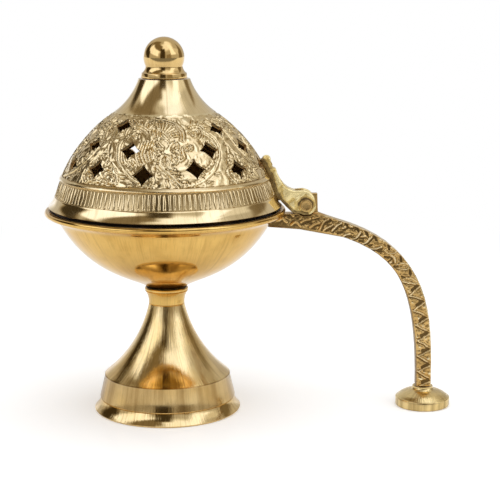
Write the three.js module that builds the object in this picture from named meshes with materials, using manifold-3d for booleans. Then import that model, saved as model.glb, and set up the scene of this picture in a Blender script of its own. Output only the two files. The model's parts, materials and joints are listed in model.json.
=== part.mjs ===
// A brass table censer: a bowl on a trumpet pedestal, a hinged pierced lid with a ball finial, and a curved
// handle that stands on its own small foot. Millimetres, +Z up, handle towards +X.
// The origin is on the table, in the middle of the censer's length and width.
import * as THREE from "three";
import { mergeVertices } from "three/addons/utils/BufferGeometryUtils.js";
import Module from "manifold-3d";

// Fits and fineness
const FIT_GAP = 0.3; // clearance between two pieces that touch
const PIN_PLAY = 0.15; // radial play of the hinge pin in its bores
const BIG_SIDES = 44; // flats round the bowl, lid and pedestal
const SMALL_SIDES = 20; // flats round the finial, bolts, rivets and pin
const MIDDLE_SIDES = 32; // flats round the handle's foot and the hinge's curves

// Pedestal
const PEDESTAL_H = 52.4;
const PEDESTAL_WALL = 3.0;
const BASE_R = 30.9; // flared base where it stands
const BASE_H = 5.2; // base up to its groove
const BASE_EDGE = 0.8; // rounding of the base's lower edge
const GROOVE_R = 28.0;
const GROOVE_W = 0.5;
const DRUM_FOOT_R = 28.6; // tapered drum above the groove
const DRUM_TOP_R = 26.4;
const DRUM_H = 9.6;
const WAIST_R = 7.5; // narrowest place of the trumpet
const WAIST_DROP = 7.0; // waist below the pedestal's top
const TRUMPET_HOLLOW = 3.0; // how far the trumpet's side bends in from a straight line
const COLLET_R = 9.1; // spread top that carries the bowl
const COLLET_HOLLOW = 0.45;
const CORE_H = 19.4; // solid neck above the hollow inside

// Bowl
const BOWL_WALL = 1.6;
const BOWL_SEAT_R = 8.0; // flat underside on the pedestal
const BOWL_SHOULDER_IN = 5.8; // where the round side turns into the flare, inside the rim
const BOWL_SHOULDER_H = 28.6;
const BOWL_FOOT_SLOPE = 40.3; // degrees up at the seat
const BOWL_FOOT_PULL = 7.8; // length of the side's lower control arm
const BOWL_TOP_SLOPE = 62; // degrees up at the shoulder
const BOWL_TOP_PULL = 25.6; // length of the side's upper control arm
const FLARE_W = 4.6;
const FLARE_H = 2.7;
const RIM_R = 50.0; // outermost radius of the rim's bead
const RIM_H = 1.9; // rim above the flare
const BEAD_R = 1.0;

// Lid
const LID_LIFT = 1.3; // gap seen between the rim and the lid's edge
const LID_WALL = 1.5;
const LID_EDGE_IN = 1.7; // inside the bowl's rim
const SKIRT_TOP_IN = 2.55; // inside the lid's edge, as the next two
const SKIRT_H = 4.6;
const SKIRT_HOLLOW = 0.35;
const BAND_TOP_IN = 4.95; // ribbed band above the skirt
const BAND_H = 6.6;
const FILLET_H = 1.9; // plain raised ring above the band
const FILLET_OUT = 0.25;
const DOME_IN = 5.7;
const DOME_TOP_R = 20.5;
const DOME_H = 25.9;
const DOME_BULGE = 2.4;
const CONE_TOP_R = 10.6;
const CONE_H = 13.3;
const CONE_HOLLOW = 1.25;
const LID_CAP_T = 1.8; // thickness under the finial

// Pierced lozenges: four triangular clusters of one, two and three
const CLUSTERS = 4;
const PATTERN_TURN = 49.75; // degrees from the handle to the first cluster
const LOZENGE_HOLLOW = 0.35; // how far each side bends in
const LOZENGE_DEPTH = 6.0; // of the cutter, through the wall at any slope
const LOZENGE_ROWS = [
  { rise: 34.4, across: 7.8, turns: [0] },
  { rise: 27.1, across: 8.7, turns: [-16.7, 16.7] },
  { rise: 18.9, across: 8.7, turns: [-28.6, 0, 28.6] },
];

// Finial
const COLLAR_R = 9.5;
const COLLAR_H = 2.1;
const FINIAL_NECK_H = 2.7; // spread neck between collar and ball
const BALL_R = 8.35;
const BALL_SINK = 3.5; // how far the ball's middle is above the neck
const FINIAL_BORE_H = 9.0;
const EDGE = 0.3; // small chamfer on turned edges

// Fasteners
const BOLT_R = 2.5;
const BOLT_HEAD_R = 4.6;
const BOLT_HEAD_H = 2.6;
const BOLT_END = 1.5; // bolt showing past its nut
const BOLT_WASHER_R = 6.2;
const BOLT_WASHER_T = 1.0;
const NUT_R = 4.6; // to the nut's corners
const NUT_H = 4.0;
const FINIAL_SCREW_R = 2.0;
const FINIAL_SCREW_HEAD_R = 3.6;
const FINIAL_SCREW_HEAD_H = 2.2;
const FINIAL_WASHER_R = 5.2;
const FINIAL_WASHER_T = 0.8;
const HANDLE_SCREW_R = 1.0;
const HANDLE_SCREW_HEAD_R = 1.7;
const HANDLE_SCREW_HEAD_H = 1.0;
const HANDLE_SCREW_GRIP = 1.8; // screw inside the handle's root
const HANDLE_SCREW_SPACING = 3.8;
const FOOT_SCREW_R = 1.5;
const FOOT_SCREW_HEAD_R = 3.2;
const FOOT_SCREW_HEAD_H = 1.5;
const FOOT_SCREW_GRIP = 9.0; // screw inside the handle's leg
const RIVET_R = 0.9;
const RIVET_HEAD_R = 1.45;
const RIVET_HEAD_H = 0.8;
const RIVET_RISES = [9.6, 15.9]; // above the lid's edge
const SLOT_W = 0.8; // screwdriver slots
const SLOT_DEPTH = 0.4; // in head heights
const HEAD_EDGE = 0.4; // edge below the crown, in head heights
const HEAD_CROWN = 0.2; // crown's rise off a straight line, in head heights

// Hinge
const HINGE_OUT = 8.2; // pin outside the rim
const HINGE_UP = 1.4; // pin above the rim
const PIN_R = 1.6;
const PIN_HEAD_R = 2.65;
const PIN_HEAD_T = 0.9;
const KNUCKLE_R = 4.1;
const LUG_W = 3.0;
const LUG_TOP = 4.6; // lug above the pin
const LUG_BACK = 4.9; // lug behind the pin
const LUG_STOP_TURN = 75; // degrees above +X of the lug's stop face
const LUG_FRONT_TURN = 230; // degrees above +X where the lug's round front ends
const LUG_SINK = 5.5; // lug's foot below the pin, inside the handle
const CHEEK_T = 2.1;
const CHEEK_TOP = 6.1; // cheeks above the pin
const CHEEK_RUN_OUT = 0.75; // room under the cheeks, cut into the handle's shoulder
const NAPE_TURN = 20; // degrees above +X where the cheeks' back leaves the knuckle
const NAPE_ROUND = 0.7; // the back's corner, in from the knuckle and down from the top
const CREST_IN = 1.0; // highest place of the cheeks, in front of the pin
const CROWN_IN = 0.8; // end of the cheeks' top, in front of the knuckle
const LID_OPEN = 95; // degrees from closed to the stop

// Lid strap
const STRAP_T = 2.5;
const STRAP_TOP_RISE = 18.9; // centre of the strap's rounded end above the lid's edge
const STRAP_END_R = 1.7;
const STRAP_END_W = 5.0;
const STRAP_TAPER_RISE = 8.0; // where the strap starts to narrow
const STRAP_FORK_RISE = 13.4; // where the fork's upper edge leaves the strap
const STRAP_LEAVE_RISE = 6.2; // where the strap leaves the lid
const STRAP_OVER_RIM = 0.9; // strap's inner edge above the rim
const HEEL_IN = 6.2; // heel of the strap, in front of the pin
const HEEL_DROP = 2.3;
const HEEL_TOE = 1.5; // heel's flat landing, behind its corner

// Handle and its foot
const HANDLE_T = 7.0;
const KNUCKLE_SINK = 0.4; // knuckle's lowest place below the handle's shoulder
const ROOT_IN = 9.2; // root reaches this far inside the rim, up to the bowl
const ROOT_DROP = 7.7; // root's lower edge below the rim
const ROOT_DEEP = 8.9;
const ROOT_DEEP_OUT = 5.8;
const ARM_START_OUT = 4.1;
const ARM_START_DROP = 4.7;
const ARM_SLOPE = 7.9; // degrees down at the start
const ARM_PULL = 51.3; // length of the arm's upper control arm
const LEG_PULL = 40.7; // length of the arm's lower control arm
const ARM_W = 6.1;
const LEG_W = 6.9;
const LEG_END_W = 6.2;
const ARM_FIRST = 0.07; // places along the arm, from 0 at the rim to 1 at the foot: its hidden start
const ROOT_JOIN = 0.16; // where the root runs out into the arm
const LUG_JOIN = 0.21; // where the lug runs out into the arm
const LEG_WIDENS = [0.35, 0.65];
const LEG_SLIMS = [0.7, 1];
const HANDLE_REACH = 59.0; // rim to the middle of the foot
const HANDLE_EDGE = 0.5; // bevel along the handle's edges
const FOOT_R = 11.5;
const FOOT_RIM_H = 3.6;
const FOOT_EDGE = 0.8;
const FOOT_NECK_R = 4.3;
const FOOT_H = 8.5;
const FOOT_DOME_H = 6.9; // dome up to the neck
const FOOT_DOME_BULGE = 0.5;
const FOOT_RECESS_R = 5.6; // for the screw's head
const FOOT_RECESS_H = 2.6;

// Heights and places that follow from the sizes
const seatZ = PEDESTAL_H + FIT_GAP;
const floorZ = seatZ + BOWL_WALL;
const shoulderZ = seatZ + BOWL_SHOULDER_H;
const bowlShoulderR = RIM_R - BOWL_SHOULDER_IN;
const flareTopR = bowlShoulderR + FLARE_W;
const flareTopZ = shoulderZ + FLARE_H;
const rimTopZ = flareTopZ + RIM_H;
const beadZ = rimTopZ - BEAD_R;
const rimWallR = RIM_R - BEAD_R;
const lidEdgeR = RIM_R - LID_EDGE_IN;
const lidEdgeZ = rimTopZ + LID_LIFT;
const skirtTopR = lidEdgeR - SKIRT_TOP_IN;
const bandTopR = lidEdgeR - BAND_TOP_IN;
const domeR = lidEdgeR - DOME_IN;
const bandZ = lidEdgeZ + SKIRT_H;
const filletZ = bandZ + BAND_H;
const domeZ = filletZ + FILLET_H;
const coneZ = domeZ + DOME_H;
const lidTopZ = coneZ + CONE_H;
const lidCeilingZ = lidTopZ - LID_CAP_T;
const collarZ = lidTopZ + FIT_GAP;
const pinX = RIM_R + HINGE_OUT;
const pinZ = rimTopZ + HINGE_UP;
const shoulderDrop = KNUCKLE_R - KNUCKLE_SINK;
const handleShoulderZ = pinZ - shoulderDrop;
const footX = RIM_R + HANDLE_REACH;
const forkW = LUG_W + 2 * (FIT_GAP + CHEEK_T);
const coreZ = PEDESTAL_H - CORE_H;
const middleX = (footX + FOOT_R - RIM_R) / 2;

const { degToRad, smoothstep, lerp } = THREE.MathUtils;
const wasm = await Module();
wasm.setup();

// A point of an outline: distance from the axis, or along X, and height
const at = (out, up) => new THREE.Vector2(out, up);

// A point at a turn in degrees on a circle
const onCircle = (centre, radius, turn) =>
  at(centre.x + radius * Math.cos(degToRad(turn)), centre.y + radius * Math.sin(degToRad(turn)));

// Points of a circle's arc, both ends included
function arc(centre, radius, fromTurn, toTurn, steps) {
  const turnAt = (i) => lerp(fromTurn, toTurn, i / steps);
  return Array.from({ length: steps + 1 }, (_, i) => onCircle(centre, radius, turnAt(i)));
}

// Points of an arc between two ends that stands off their chord by rise, to the right of travel. The first
// end is left out.
function bow(from, to, rise, steps) {
  const half = from.distanceTo(to) / 2;
  const radius = (half * half + rise * rise) / (2 * rise);
  const run = to.clone().sub(from).normalize();
  const centre = from.clone().lerp(to, 0.5).addScaledVector(at(run.y, -run.x), rise - radius);
  const step = (2 * Math.asin(half / radius)) / steps;
  return Array.from({ length: steps }, (_, i) => from.clone().rotateAround(centre, step * (i + 1)));
}

// Points of a quadratic curve. The first end is left out.
function bend(from, control, to, steps) {
  return new THREE.QuadraticBezierCurve(from, control, to).getPoints(steps).slice(1);
}

// A line moved sideways, to the left of travel, with mitred corners
function offsetLine(line, distance) {
  const normals = line.slice(1).map((point, i) => {
    const run = point.clone().sub(line[i]).normalize();
    return at(-run.y, run.x);
  });
  return line.map((point, i) => {
    const before = normals[Math.max(i - 1, 0)];
    const after = normals[Math.min(i, normals.length - 1)];
    const mitre = before.clone().add(after).normalize();
    return point.clone().addScaledVector(mitre, distance / mitre.dot(after));
  });
}

// The stretch of a line between two heights
function between(line, low, high) {
  return line.flatMap((point, i) => {
    const kept = point.y >= low && point.y <= high ? [point] : [];
    const next = line[i + 1];
    if (!next) return kept;
    const crossed = [low, high].filter((level) => (point.y - level) * (next.y - level) < 0);
    crossed.sort((a, b) => (a - b) * Math.sign(next.y - point.y));
    const cuts = crossed.map((level) => point.clone().lerp(next, (level - point.y) / (next.y - point.y)));
    return [...kept, ...cuts];
  });
}

// The point of a rising line at a height, and the direction square to the line there
function stationAt(line, height) {
  const i = line.findIndex((point, k) => k > 0 && point.y >= height);
  const run = line[i].clone().sub(line[i - 1]);
  const point = line[i - 1].clone().addScaledVector(run, (height - line[i - 1].y) / run.y);
  return { point, outward: at(run.y, -run.x).normalize() };
}

// Geometry to solid: shared corners merged, faces without area dropped, faces turned outwards
function toSolid(geometry) {
  const bare = geometry.clone();
  bare.deleteAttribute("normal");
  bare.deleteAttribute("uv");
  const merged = mergeVertices(bare, 1e-4);
  const places = merged.getAttribute("position").array;
  const index = merged.getIndex().array;
  const faces = [];
  const [a, b, c] = [new THREE.Vector3(), new THREE.Vector3(), new THREE.Vector3()];
  let volume = 0;
  for (let i = 0; i < index.length; i += 3) {
    const corners = [index[i], index[i + 1], index[i + 2]];
    if (new Set(corners).size < 3) continue;
    faces.push(corners);
    [a, b, c].forEach((corner, k) => corner.fromArray(places, 3 * corners[k]));
    volume += a.dot(b.cross(c));
  }
  if (volume < 0) faces.forEach((face) => face.reverse());
  const mesh = new wasm.Mesh({
    numProp: 3,
    vertProperties: Float32Array.from(places),
    triVerts: Uint32Array.from(faces.flat()),
  });
  return new wasm.Manifold(mesh);
}

function toGeometry(solid) {
  const mesh = solid.getMesh();
  const geometry = new THREE.BufferGeometry();
  geometry.setAttribute("position", new THREE.BufferAttribute(mesh.vertProperties, 3));
  geometry.setIndex(new THREE.BufferAttribute(mesh.triVerts, 1));
  geometry.computeVertexNormals();
  return geometry;
}

// Solid turned about Z. An outline that doesn't start on the axis closes on itself.
function turned(outline, sides) {
  const closed = outline[0].x > 0 ? [...outline, outline[0]] : outline;
  return toSolid(new THREE.LatheGeometry(closed, sides).rotateX(Math.PI / 2));
}

// Plate in the XZ plane, its thickness along Y about the middle plane
function plate(outline, thickness, bevel = 0) {
  const options = { depth: thickness - 2 * bevel, bevelEnabled: bevel > 0, bevelSize: bevel };
  Object.assign(options, { bevelThickness: bevel, bevelOffset: -bevel, bevelSegments: 1, steps: 1 });
  const geometry = new THREE.ExtrudeGeometry(new THREE.Shape(outline), options);
  return toSolid(geometry.translate(0, 0, bevel - thickness / 2).rotateX(Math.PI / 2));
}

// Round bar along local Z between two heights
const bar = (radius, low, high, sides = SMALL_SIDES) =>
  new THREE.CylinderGeometry(radius, radius, high - low, sides)
    .rotateX(Math.PI / 2)
    .translate(0, 0, (low + high) / 2);

// Frame at a station of a turned piece, local Z along the outward direction
function stationFrame(station, turn = 0) {
  const tilt = Math.atan2(station.outward.x, station.outward.y);
  return new THREE.Matrix4()
    .makeRotationZ(degToRad(turn))
    .multiply(new THREE.Matrix4().makeTranslation(station.point.x, 0, station.point.y))
    .multiply(new THREE.Matrix4().makeRotationY(tilt));
}

const barIn = (frame, radius, low, high) => toSolid(bar(radius, low, high).applyMatrix4(frame));

// Bar along Y through a point of the XZ plane
function crossBar(centre, radius, low, high) {
  const geometry = bar(radius, low, high, MIDDLE_SIDES).rotateX(-Math.PI / 2);
  return toSolid(geometry.translate(centre.x, 0, centre.y));
}

// Screw or bolt: the underside of its head at local Z 0, shank down, slot in the round head
function screw(shankR, shankH, headR, headH) {
  const edge = at(headR, headH * HEAD_EDGE);
  const crown = bow(edge, at(0, headH), headH * HEAD_CROWN, 3);
  const shank = [at(0, -shankH), at(shankR, -shankH), at(shankR, 0)];
  const body = turned([...shank, at(headR, 0), edge, ...crown], SMALL_SIDES);
  const slot = new THREE.BoxGeometry(3 * headR, SLOT_W, 2 * headH * SLOT_DEPTH).translate(0, 0, headH);
  return body.subtract(toSolid(slot));
}

const ring = (inner, outer, low, high, sides = SMALL_SIDES) =>
  turned([at(inner, low), at(outer, low), at(outer, high), at(inner, high)], sides);

const boltBore = BOLT_R + FIT_GAP;
const finialBore = FINIAL_SCREW_R + FIT_GAP;
const footBore = FOOT_SCREW_R + FIT_GAP;

// Pedestal: hollow trumpet on a drum and a flared base, with a solid neck for the bolt
const drumZ = BASE_H + GROOVE_W;
const drumTopZ = drumZ + DRUM_H;
const trumpetFoot = at(DRUM_TOP_R - EDGE, drumTopZ + EDGE);
const waist = at(WAIST_R, PEDESTAL_H - WAIST_DROP);
const trumpet = bow(trumpetFoot, waist, -TRUMPET_HOLLOW, 6);

function makePedestal() {
  const baseTop = at(GROOVE_R + EDGE, BASE_H);
  const outside = [
    at(BASE_R - BASE_EDGE, 0),
    at(BASE_R, BASE_EDGE),
    ...bow(at(BASE_R, BASE_EDGE), baseTop, -EDGE, 2),
    at(GROOVE_R, BASE_H + EDGE / 2),
    at(GROOVE_R, drumZ - EDGE / 2),
    at(DRUM_FOOT_R, drumZ),
    at(DRUM_TOP_R, drumTopZ),
    trumpetFoot,
    ...trumpet,
    ...bow(waist, at(COLLET_R, PEDESTAL_H - EDGE), -COLLET_HOLLOW, 3),
    at(COLLET_R - EDGE, PEDESTAL_H),
  ];
  const skin = [at(BASE_R, 0), at(GROOVE_R, BASE_H), at(DRUM_TOP_R, drumTopZ), ...trumpet];
  const inside = between(offsetLine(skin, PEDESTAL_WALL), 0, coreZ);
  return turned([...outside, at(boltBore, PEDESTAL_H), at(boltBore, coreZ), ...inside.reverse()], BIG_SIDES);
}

// Bowl: round side, short flare and upright rim with a bead
const bowlSeat = at(BOWL_SEAT_R, seatZ);
const bowlShoulder = at(bowlShoulderR, shoulderZ);
const bowlRound = new THREE.CubicBezierCurve(
  bowlSeat,
  onCircle(bowlSeat, BOWL_FOOT_PULL, BOWL_FOOT_SLOPE),
  onCircle(bowlShoulder, -BOWL_TOP_PULL, BOWL_TOP_SLOPE),
  bowlShoulder
);
const bowlSide = [...bowlRound.getPoints(8), at(flareTopR, flareTopZ)];
const beadCentre = at(rimWallR, beadZ);
const bowlOutside = [...bowlSide, ...arc(beadCentre, BEAD_R, -75, 90, 5)];
const flareStation = { point: bowlSide.at(-1).clone().lerp(bowlSide.at(-2), 0.5), outward: at(0, 0) };
flareStation.outward = at(FLARE_H, -FLARE_W).normalize();
const screwTurn = THREE.MathUtils.radToDeg(Math.asin(HANDLE_SCREW_SPACING / 2 / flareStation.point.x));
const handleScrewFrames = [-screwTurn, screwTurn].map((turn) => stationFrame(flareStation, turn));

function makeBowl() {
  const skin = [at(boltBore, seatZ), ...bowlSide, at(flareTopR, rimTopZ)];
  const inside = offsetLine(skin, BOWL_WALL);
  const rimInside = inside.at(-1);
  const top = [at(rimInside.x + EDGE, rimTopZ), at(rimInside.x, rimTopZ - EDGE)];
  const outline = [at(boltBore, seatZ), ...bowlOutside, ...top, ...inside.slice(0, -1).reverse()];
  const holes = handleScrewFrames.map((frame) =>
    barIn(frame, HANDLE_SCREW_R + FIT_GAP, -3 * BOWL_WALL, 2 * BOWL_WALL)
  );
  return turned(outline, BIG_SIDES).subtract(wasm.Manifold.union(holes));
}

// The bowl filled and grown by the fit gap, for cutting its seat into the handle
function bowlSeatCutter() {
  const grown = offsetLine([at(0, seatZ), ...bowlOutside], -FIT_GAP);
  const high = pinZ + CHEEK_TOP;
  return turned([...grown, at(grown.at(-1).x, high), at(0, high)], BIG_SIDES);
}

// Lid: skirt, ribbed band, ring, dome and cone in one shell
const lidSkirt = [
  at(lidEdgeR, lidEdgeZ),
  ...bow(at(lidEdgeR, lidEdgeZ), at(skirtTopR, bandZ), -SKIRT_HOLLOW, 2),
  at(bandTopR, filletZ),
];
const lidRing = [at(bandTopR + FILLET_OUT, filletZ + FILLET_OUT), at(bandTopR, domeZ - FILLET_OUT)];
const lidCrown = (domeSteps, coneSteps) => [
  at(domeR, domeZ),
  ...bow(at(domeR, domeZ), at(DOME_TOP_R, coneZ), DOME_BULGE, domeSteps),
  ...bow(at(DOME_TOP_R, coneZ), at(CONE_TOP_R, lidTopZ), -CONE_HOLLOW, coneSteps),
];
const lidLine = [...lidSkirt, ...lidRing, ...lidCrown(7, 4)];
const rivetFrames = RIVET_RISES.map((rise) => stationFrame(stationAt(lidLine, lidEdgeZ + rise)));

// Four-cornered hole with sides that bend in, corners up, down and sideways
function lozenge(across, frame) {
  const corner = across / 2;
  const side = corner / 2 - LOZENGE_HOLLOW / Math.SQRT2;
  const shape = new THREE.Shape([
    at(corner, 0),
    at(side, side),
    at(0, corner),
    at(-side, side),
    at(-corner, 0),
    at(-side, -side),
    at(0, -corner),
    at(side, -side),
  ]);
  const options = { depth: LOZENGE_DEPTH, bevelEnabled: false, steps: 1 };
  const geometry = new THREE.ExtrudeGeometry(shape, options);
  return toSolid(geometry.translate(0, 0, -LOZENGE_DEPTH / 2).applyMatrix4(frame));
}

function lozenges() {
  const holes = [];
  for (let cluster = 0; cluster < CLUSTERS; cluster += 1) {
    const middle = PATTERN_TURN + (360 / CLUSTERS) * cluster;
    for (const { rise, across, turns } of LOZENGE_ROWS) {
      const station = stationAt(lidLine, lidEdgeZ + rise);
      holes.push(...turns.map((turn) => lozenge(across, stationFrame(station, middle + turn))));
    }
  }
  return wasm.Manifold.union(holes);
}

function makeLid() {
  const smooth = [...lidSkirt, ...lidCrown(5, 3)];
  const inside = between(offsetLine(smooth, LID_WALL), lidEdgeZ, lidCeilingZ);
  const top = [at(finialBore, lidTopZ), at(finialBore, lidCeilingZ)];
  const shell = turned([...lidLine, ...top, ...inside.reverse()], BIG_SIDES);
  const rivetHoles = rivetFrames.map((frame) => barIn(frame, RIVET_R + FIT_GAP, -3 * LID_WALL, 2 * LID_WALL));
  return shell.subtract(lozenges()).subtract(wasm.Manifold.union(rivetHoles));
}

// Finial: ball, spread neck and collar, with a blind bore for its screw
function makeFinial() {
  const neckR = Math.sqrt(BALL_R * BALL_R - BALL_SINK * BALL_SINK);
  const neckZ = collarZ + COLLAR_H + FINIAL_NECK_H;
  const ball = at(0, neckZ + BALL_SINK);
  const neckTurn = -THREE.MathUtils.radToDeg(Math.asin(BALL_SINK / BALL_R));
  const collarTop = at(COLLAR_R - EDGE, collarZ + COLLAR_H);
  return turned(
    [
      at(0, collarZ + FINIAL_BORE_H),
      at(finialBore, collarZ + FINIAL_BORE_H),
      at(finialBore, collarZ),
      at(COLLAR_R - EDGE, collarZ),
      at(COLLAR_R, collarZ + EDGE),
      at(COLLAR_R, collarZ + COLLAR_H - EDGE),
      collarTop,
      ...bow(collarTop, at(neckR, neckZ), -EDGE, 3),
      ...arc(ball, BALL_R, neckTurn, 90, 9).slice(1, -1),
      at(0, ball.y + BALL_R),
    ],
    SMALL_SIDES
  );
}

// Lid strap: follows the dome, and ends in a fork of two cheeks round the handle's lug
const pin = at(pinX, pinZ);
const fromPin = (out, up) => at(pinX + out, pinZ + up);

function strapSide() {
  const close = between(lidLine, lidEdgeZ + STRAP_LEAVE_RISE, lidEdgeZ + STRAP_TOP_RISE);
  const inner = offsetLine(close, LID_WALL / 2).reverse();
  const outer = between(
    offsetLine(lidLine, -FIT_GAP - STRAP_T),
    lidEdgeZ + STRAP_FORK_RISE,
    lidEdgeZ + STRAP_TOP_RISE + STRAP_T / 2
  );
  const crown = fromPin(-KNUCKLE_R - CROWN_IN, CHEEK_TOP - EDGE);
  const crest = fromPin(-CREST_IN, CHEEK_TOP);
  const nape = onCircle(pin, KNUCKLE_R, NAPE_TURN);
  const napeCorner = fromPin(KNUCKLE_R - NAPE_ROUND, CHEEK_TOP - NAPE_ROUND);
  const landing = shoulderDrop - FIT_GAP;
  const landingTurn = THREE.MathUtils.radToDeg(Math.asin(landing / KNUCKLE_R)) - 180;
  return [
    ...inner,
    at(RIM_R, rimTopZ + STRAP_OVER_RIM),
    fromPin(-HEEL_IN, -HEEL_DROP),
    fromPin(-HEEL_IN + HEEL_TOE, -landing),
    ...arc(pin, KNUCKLE_R, landingTurn, NAPE_TURN, 8),
    ...bend(nape, napeCorner, crest, 5),
    crown,
    ...bend(crown, at(outer[0].x + STRAP_T, crown.y + STRAP_T / 2), outer[0], 4),
    ...outer.slice(1),
  ];
}

// The strap seen from its back: fork width below, narrower above, with a round end
function strapFront() {
  const endHalf = STRAP_END_W / 2;
  const endZ = lidEdgeZ + STRAP_TOP_RISE + STRAP_END_R - endHalf;
  const lowZ = pinZ - 2 * KNUCKLE_R;
  const taperZ = lidEdgeZ + STRAP_TAPER_RISE;
  const half = forkW / 2;
  const low = [at(-half, taperZ), at(-half, lowZ), at(half, lowZ), at(half, taperZ)];
  const deep = plate([...low, ...arc(at(0, endZ), endHalf, 0, 180, 8)], 2 * (pinX + KNUCKLE_R));
  return deep.rotate([0, 0, 90]);
}

// Room for the lug between the cheeks, up to the ledge that meets the lug's stop face when the lid is open
function lugRoom() {
  const ledgeTurn = LUG_STOP_TURN + LID_OPEN + THREE.MathUtils.radToDeg(FIT_GAP / KNUCKLE_R);
  const sweepR = Math.hypot(LUG_BACK, LUG_TOP) + FIT_GAP;
  const width = LUG_W + 2 * FIT_GAP;
  const sweep = plate([pin, ...arc(pin, sweepR, -60, ledgeTurn, 16)], width);
  return sweep.add(crossBar(pin, KNUCKLE_R + FIT_GAP, -width / 2, width / 2));
}

// The lid filled and grown by the fit gap
function lidSeatCutter() {
  const grown = offsetLine(lidLine, -FIT_GAP);
  return turned([at(0, grown[0].y), ...grown, at(0, grown.at(-1).y)], BIG_SIDES);
}

const rivetHeadZ = FIT_GAP + STRAP_T + FIT_GAP;

function makeStrap() {
  const end = stationAt(offsetLine(lidLine, -FIT_GAP - STRAP_END_R), lidEdgeZ + STRAP_TOP_RISE).point;
  const bulb = crossBar(end, STRAP_END_R, -forkW / 2, forkW / 2);
  const rivetRoom = rivetFrames.flatMap((frame) => [
    barIn(frame, RIVET_R + FIT_GAP, -LID_WALL, 3 * STRAP_T),
    barIn(frame, RIVET_HEAD_R + FIT_GAP, rivetHeadZ - FIT_GAP, 3 * STRAP_T),
  ]);
  return plate(strapSide(), forkW)
    .add(bulb)
    .intersect(strapFront())
    .subtract(lidSeatCutter())
    .subtract(lugRoom())
    .subtract(crossBar(pin, PIN_R + PIN_PLAY, -forkW, forkW))
    .subtract(wasm.Manifold.union(rivetRoom));
}

// Rivet through strap and dome, headed on both sides
function makeRivet() {
  const low = -LID_WALL - FIT_GAP;
  return turned(
    [
      at(0, low - RIVET_HEAD_H),
      at(RIVET_HEAD_R - EDGE, low - RIVET_HEAD_H),
      at(RIVET_HEAD_R, low),
      at(RIVET_R, low),
      at(RIVET_R, rivetHeadZ),
      at(RIVET_HEAD_R, rivetHeadZ),
      ...bow(at(RIVET_HEAD_R, rivetHeadZ), at(0, rivetHeadZ + RIVET_HEAD_H), RIVET_HEAD_H / 4, 3),
    ],
    SMALL_SIDES / 2
  );
}

// Hinge pin: shank through fork and lug, a flat round head with a softened edge at each end
function makeHingePin() {
  const seat = forkW / 2 + FIT_GAP;
  const top = seat + PIN_HEAD_T;
  const head = [at(PIN_HEAD_R, seat), at(PIN_HEAD_R, top - EDGE), at(PIN_HEAD_R - EDGE, top), at(0, top)];
  const half = [at(PIN_R, seat), ...head];
  const mirrored = half.map((point) => at(point.x, -point.y)).reverse();
  return turned([...mirrored, ...half], SMALL_SIDES);
}

// Handle: root under the rim, lug of the hinge, arm and leg in one casting
const footTop = at(footX, FOOT_H + FIT_GAP);
const armStart = at(RIM_R + ARM_START_OUT, rimTopZ - ARM_START_DROP);
const armLine = new THREE.CubicBezierCurve(
  armStart,
  onCircle(armStart, ARM_PULL, -ARM_SLOPE),
  at(footTop.x, footTop.y + LEG_PULL),
  footTop
);

// Width of the arm at a share of its line: slim at the hinge, full in the leg, slim again at the foot
function armWidth(share) {
  const widened = (LEG_W - ARM_W) * smoothstep(share, ...LEG_WIDENS);
  return ARM_W + widened - (LEG_W - LEG_END_W) * smoothstep(share, ...LEG_SLIMS);
}

// Edge of the arm at a share of its line: sign 1 for the upper edge, -1 for the lower one
function armEdge(sign, share) {
  const run = armLine.getTangent(share);
  return armLine.getPoint(share).addScaledVector(at(-run.y, run.x), (sign * armWidth(share)) / 2);
}

const armSide = (sign, steps) =>
  Array.from({ length: steps + 1 }, (_, i) => armEdge(sign, lerp(ARM_FIRST, 1, i / steps)));

function makeHandle() {
  const arm = plate([...armSide(-1, 18), ...armSide(1, 18).reverse()], HANDLE_T, HANDLE_EDGE);
  const rootOutline = [
    at(RIM_R - ROOT_IN, rimTopZ - ROOT_DROP),
    at(RIM_R + ROOT_DEEP_OUT, rimTopZ - ROOT_DEEP),
    armEdge(-1, ROOT_JOIN),
    armEdge(1, ROOT_JOIN),
    fromPin(LUG_BACK, -shoulderDrop),
    at(RIM_R - ROOT_IN, handleShoulderZ),
  ];
  const stopFoot = onCircle(pin, KNUCKLE_R, LUG_STOP_TURN);
  const stopTop = fromPin(LUG_TOP / Math.tan(degToRad(LUG_STOP_TURN)), LUG_TOP);
  const lugOutline = [
    fromPin(-KNUCKLE_R / 2, -LUG_SINK),
    fromPin(LUG_BACK, -LUG_SINK),
    armEdge(1, LUG_JOIN),
    fromPin(LUG_BACK + EDGE, EDGE - shoulderDrop),
    fromPin(LUG_BACK, LUG_TOP),
    stopTop,
    stopFoot,
    ...arc(pin, KNUCKLE_R, LUG_STOP_TURN, LUG_FRONT_TURN, 8).slice(1),
  ];
  const lugHalf = LUG_W / 2;
  const runOut = KNUCKLE_R + CHEEK_RUN_OUT;
  const screwDepth = HANDLE_SCREW_GRIP + 2 * FIT_GAP;
  const screwHoles = handleScrewFrames.map((frame) =>
    barIn(frame, HANDLE_SCREW_R + FIT_GAP, -BOWL_WALL, screwDepth)
  );
  const footBar = bar(footBore, 0, footTop.y + FOOT_SCREW_GRIP + FIT_GAP);
  const footHole = toSolid(footBar.translate(footX, 0, 0));
  return arm
    .add(plate(rootOutline, HANDLE_T, HANDLE_EDGE))
    .subtract(crossBar(pin, runOut, lugHalf, HANDLE_T))
    .subtract(crossBar(pin, runOut, -HANDLE_T, -lugHalf))
    .add(plate(lugOutline, LUG_W))
    .subtract(bowlSeatCutter())
    .subtract(crossBar(pin, PIN_R + PIN_PLAY, -HANDLE_T, HANDLE_T))
    .subtract(wasm.Manifold.union(screwHoles))
    .subtract(footHole);
}

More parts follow.
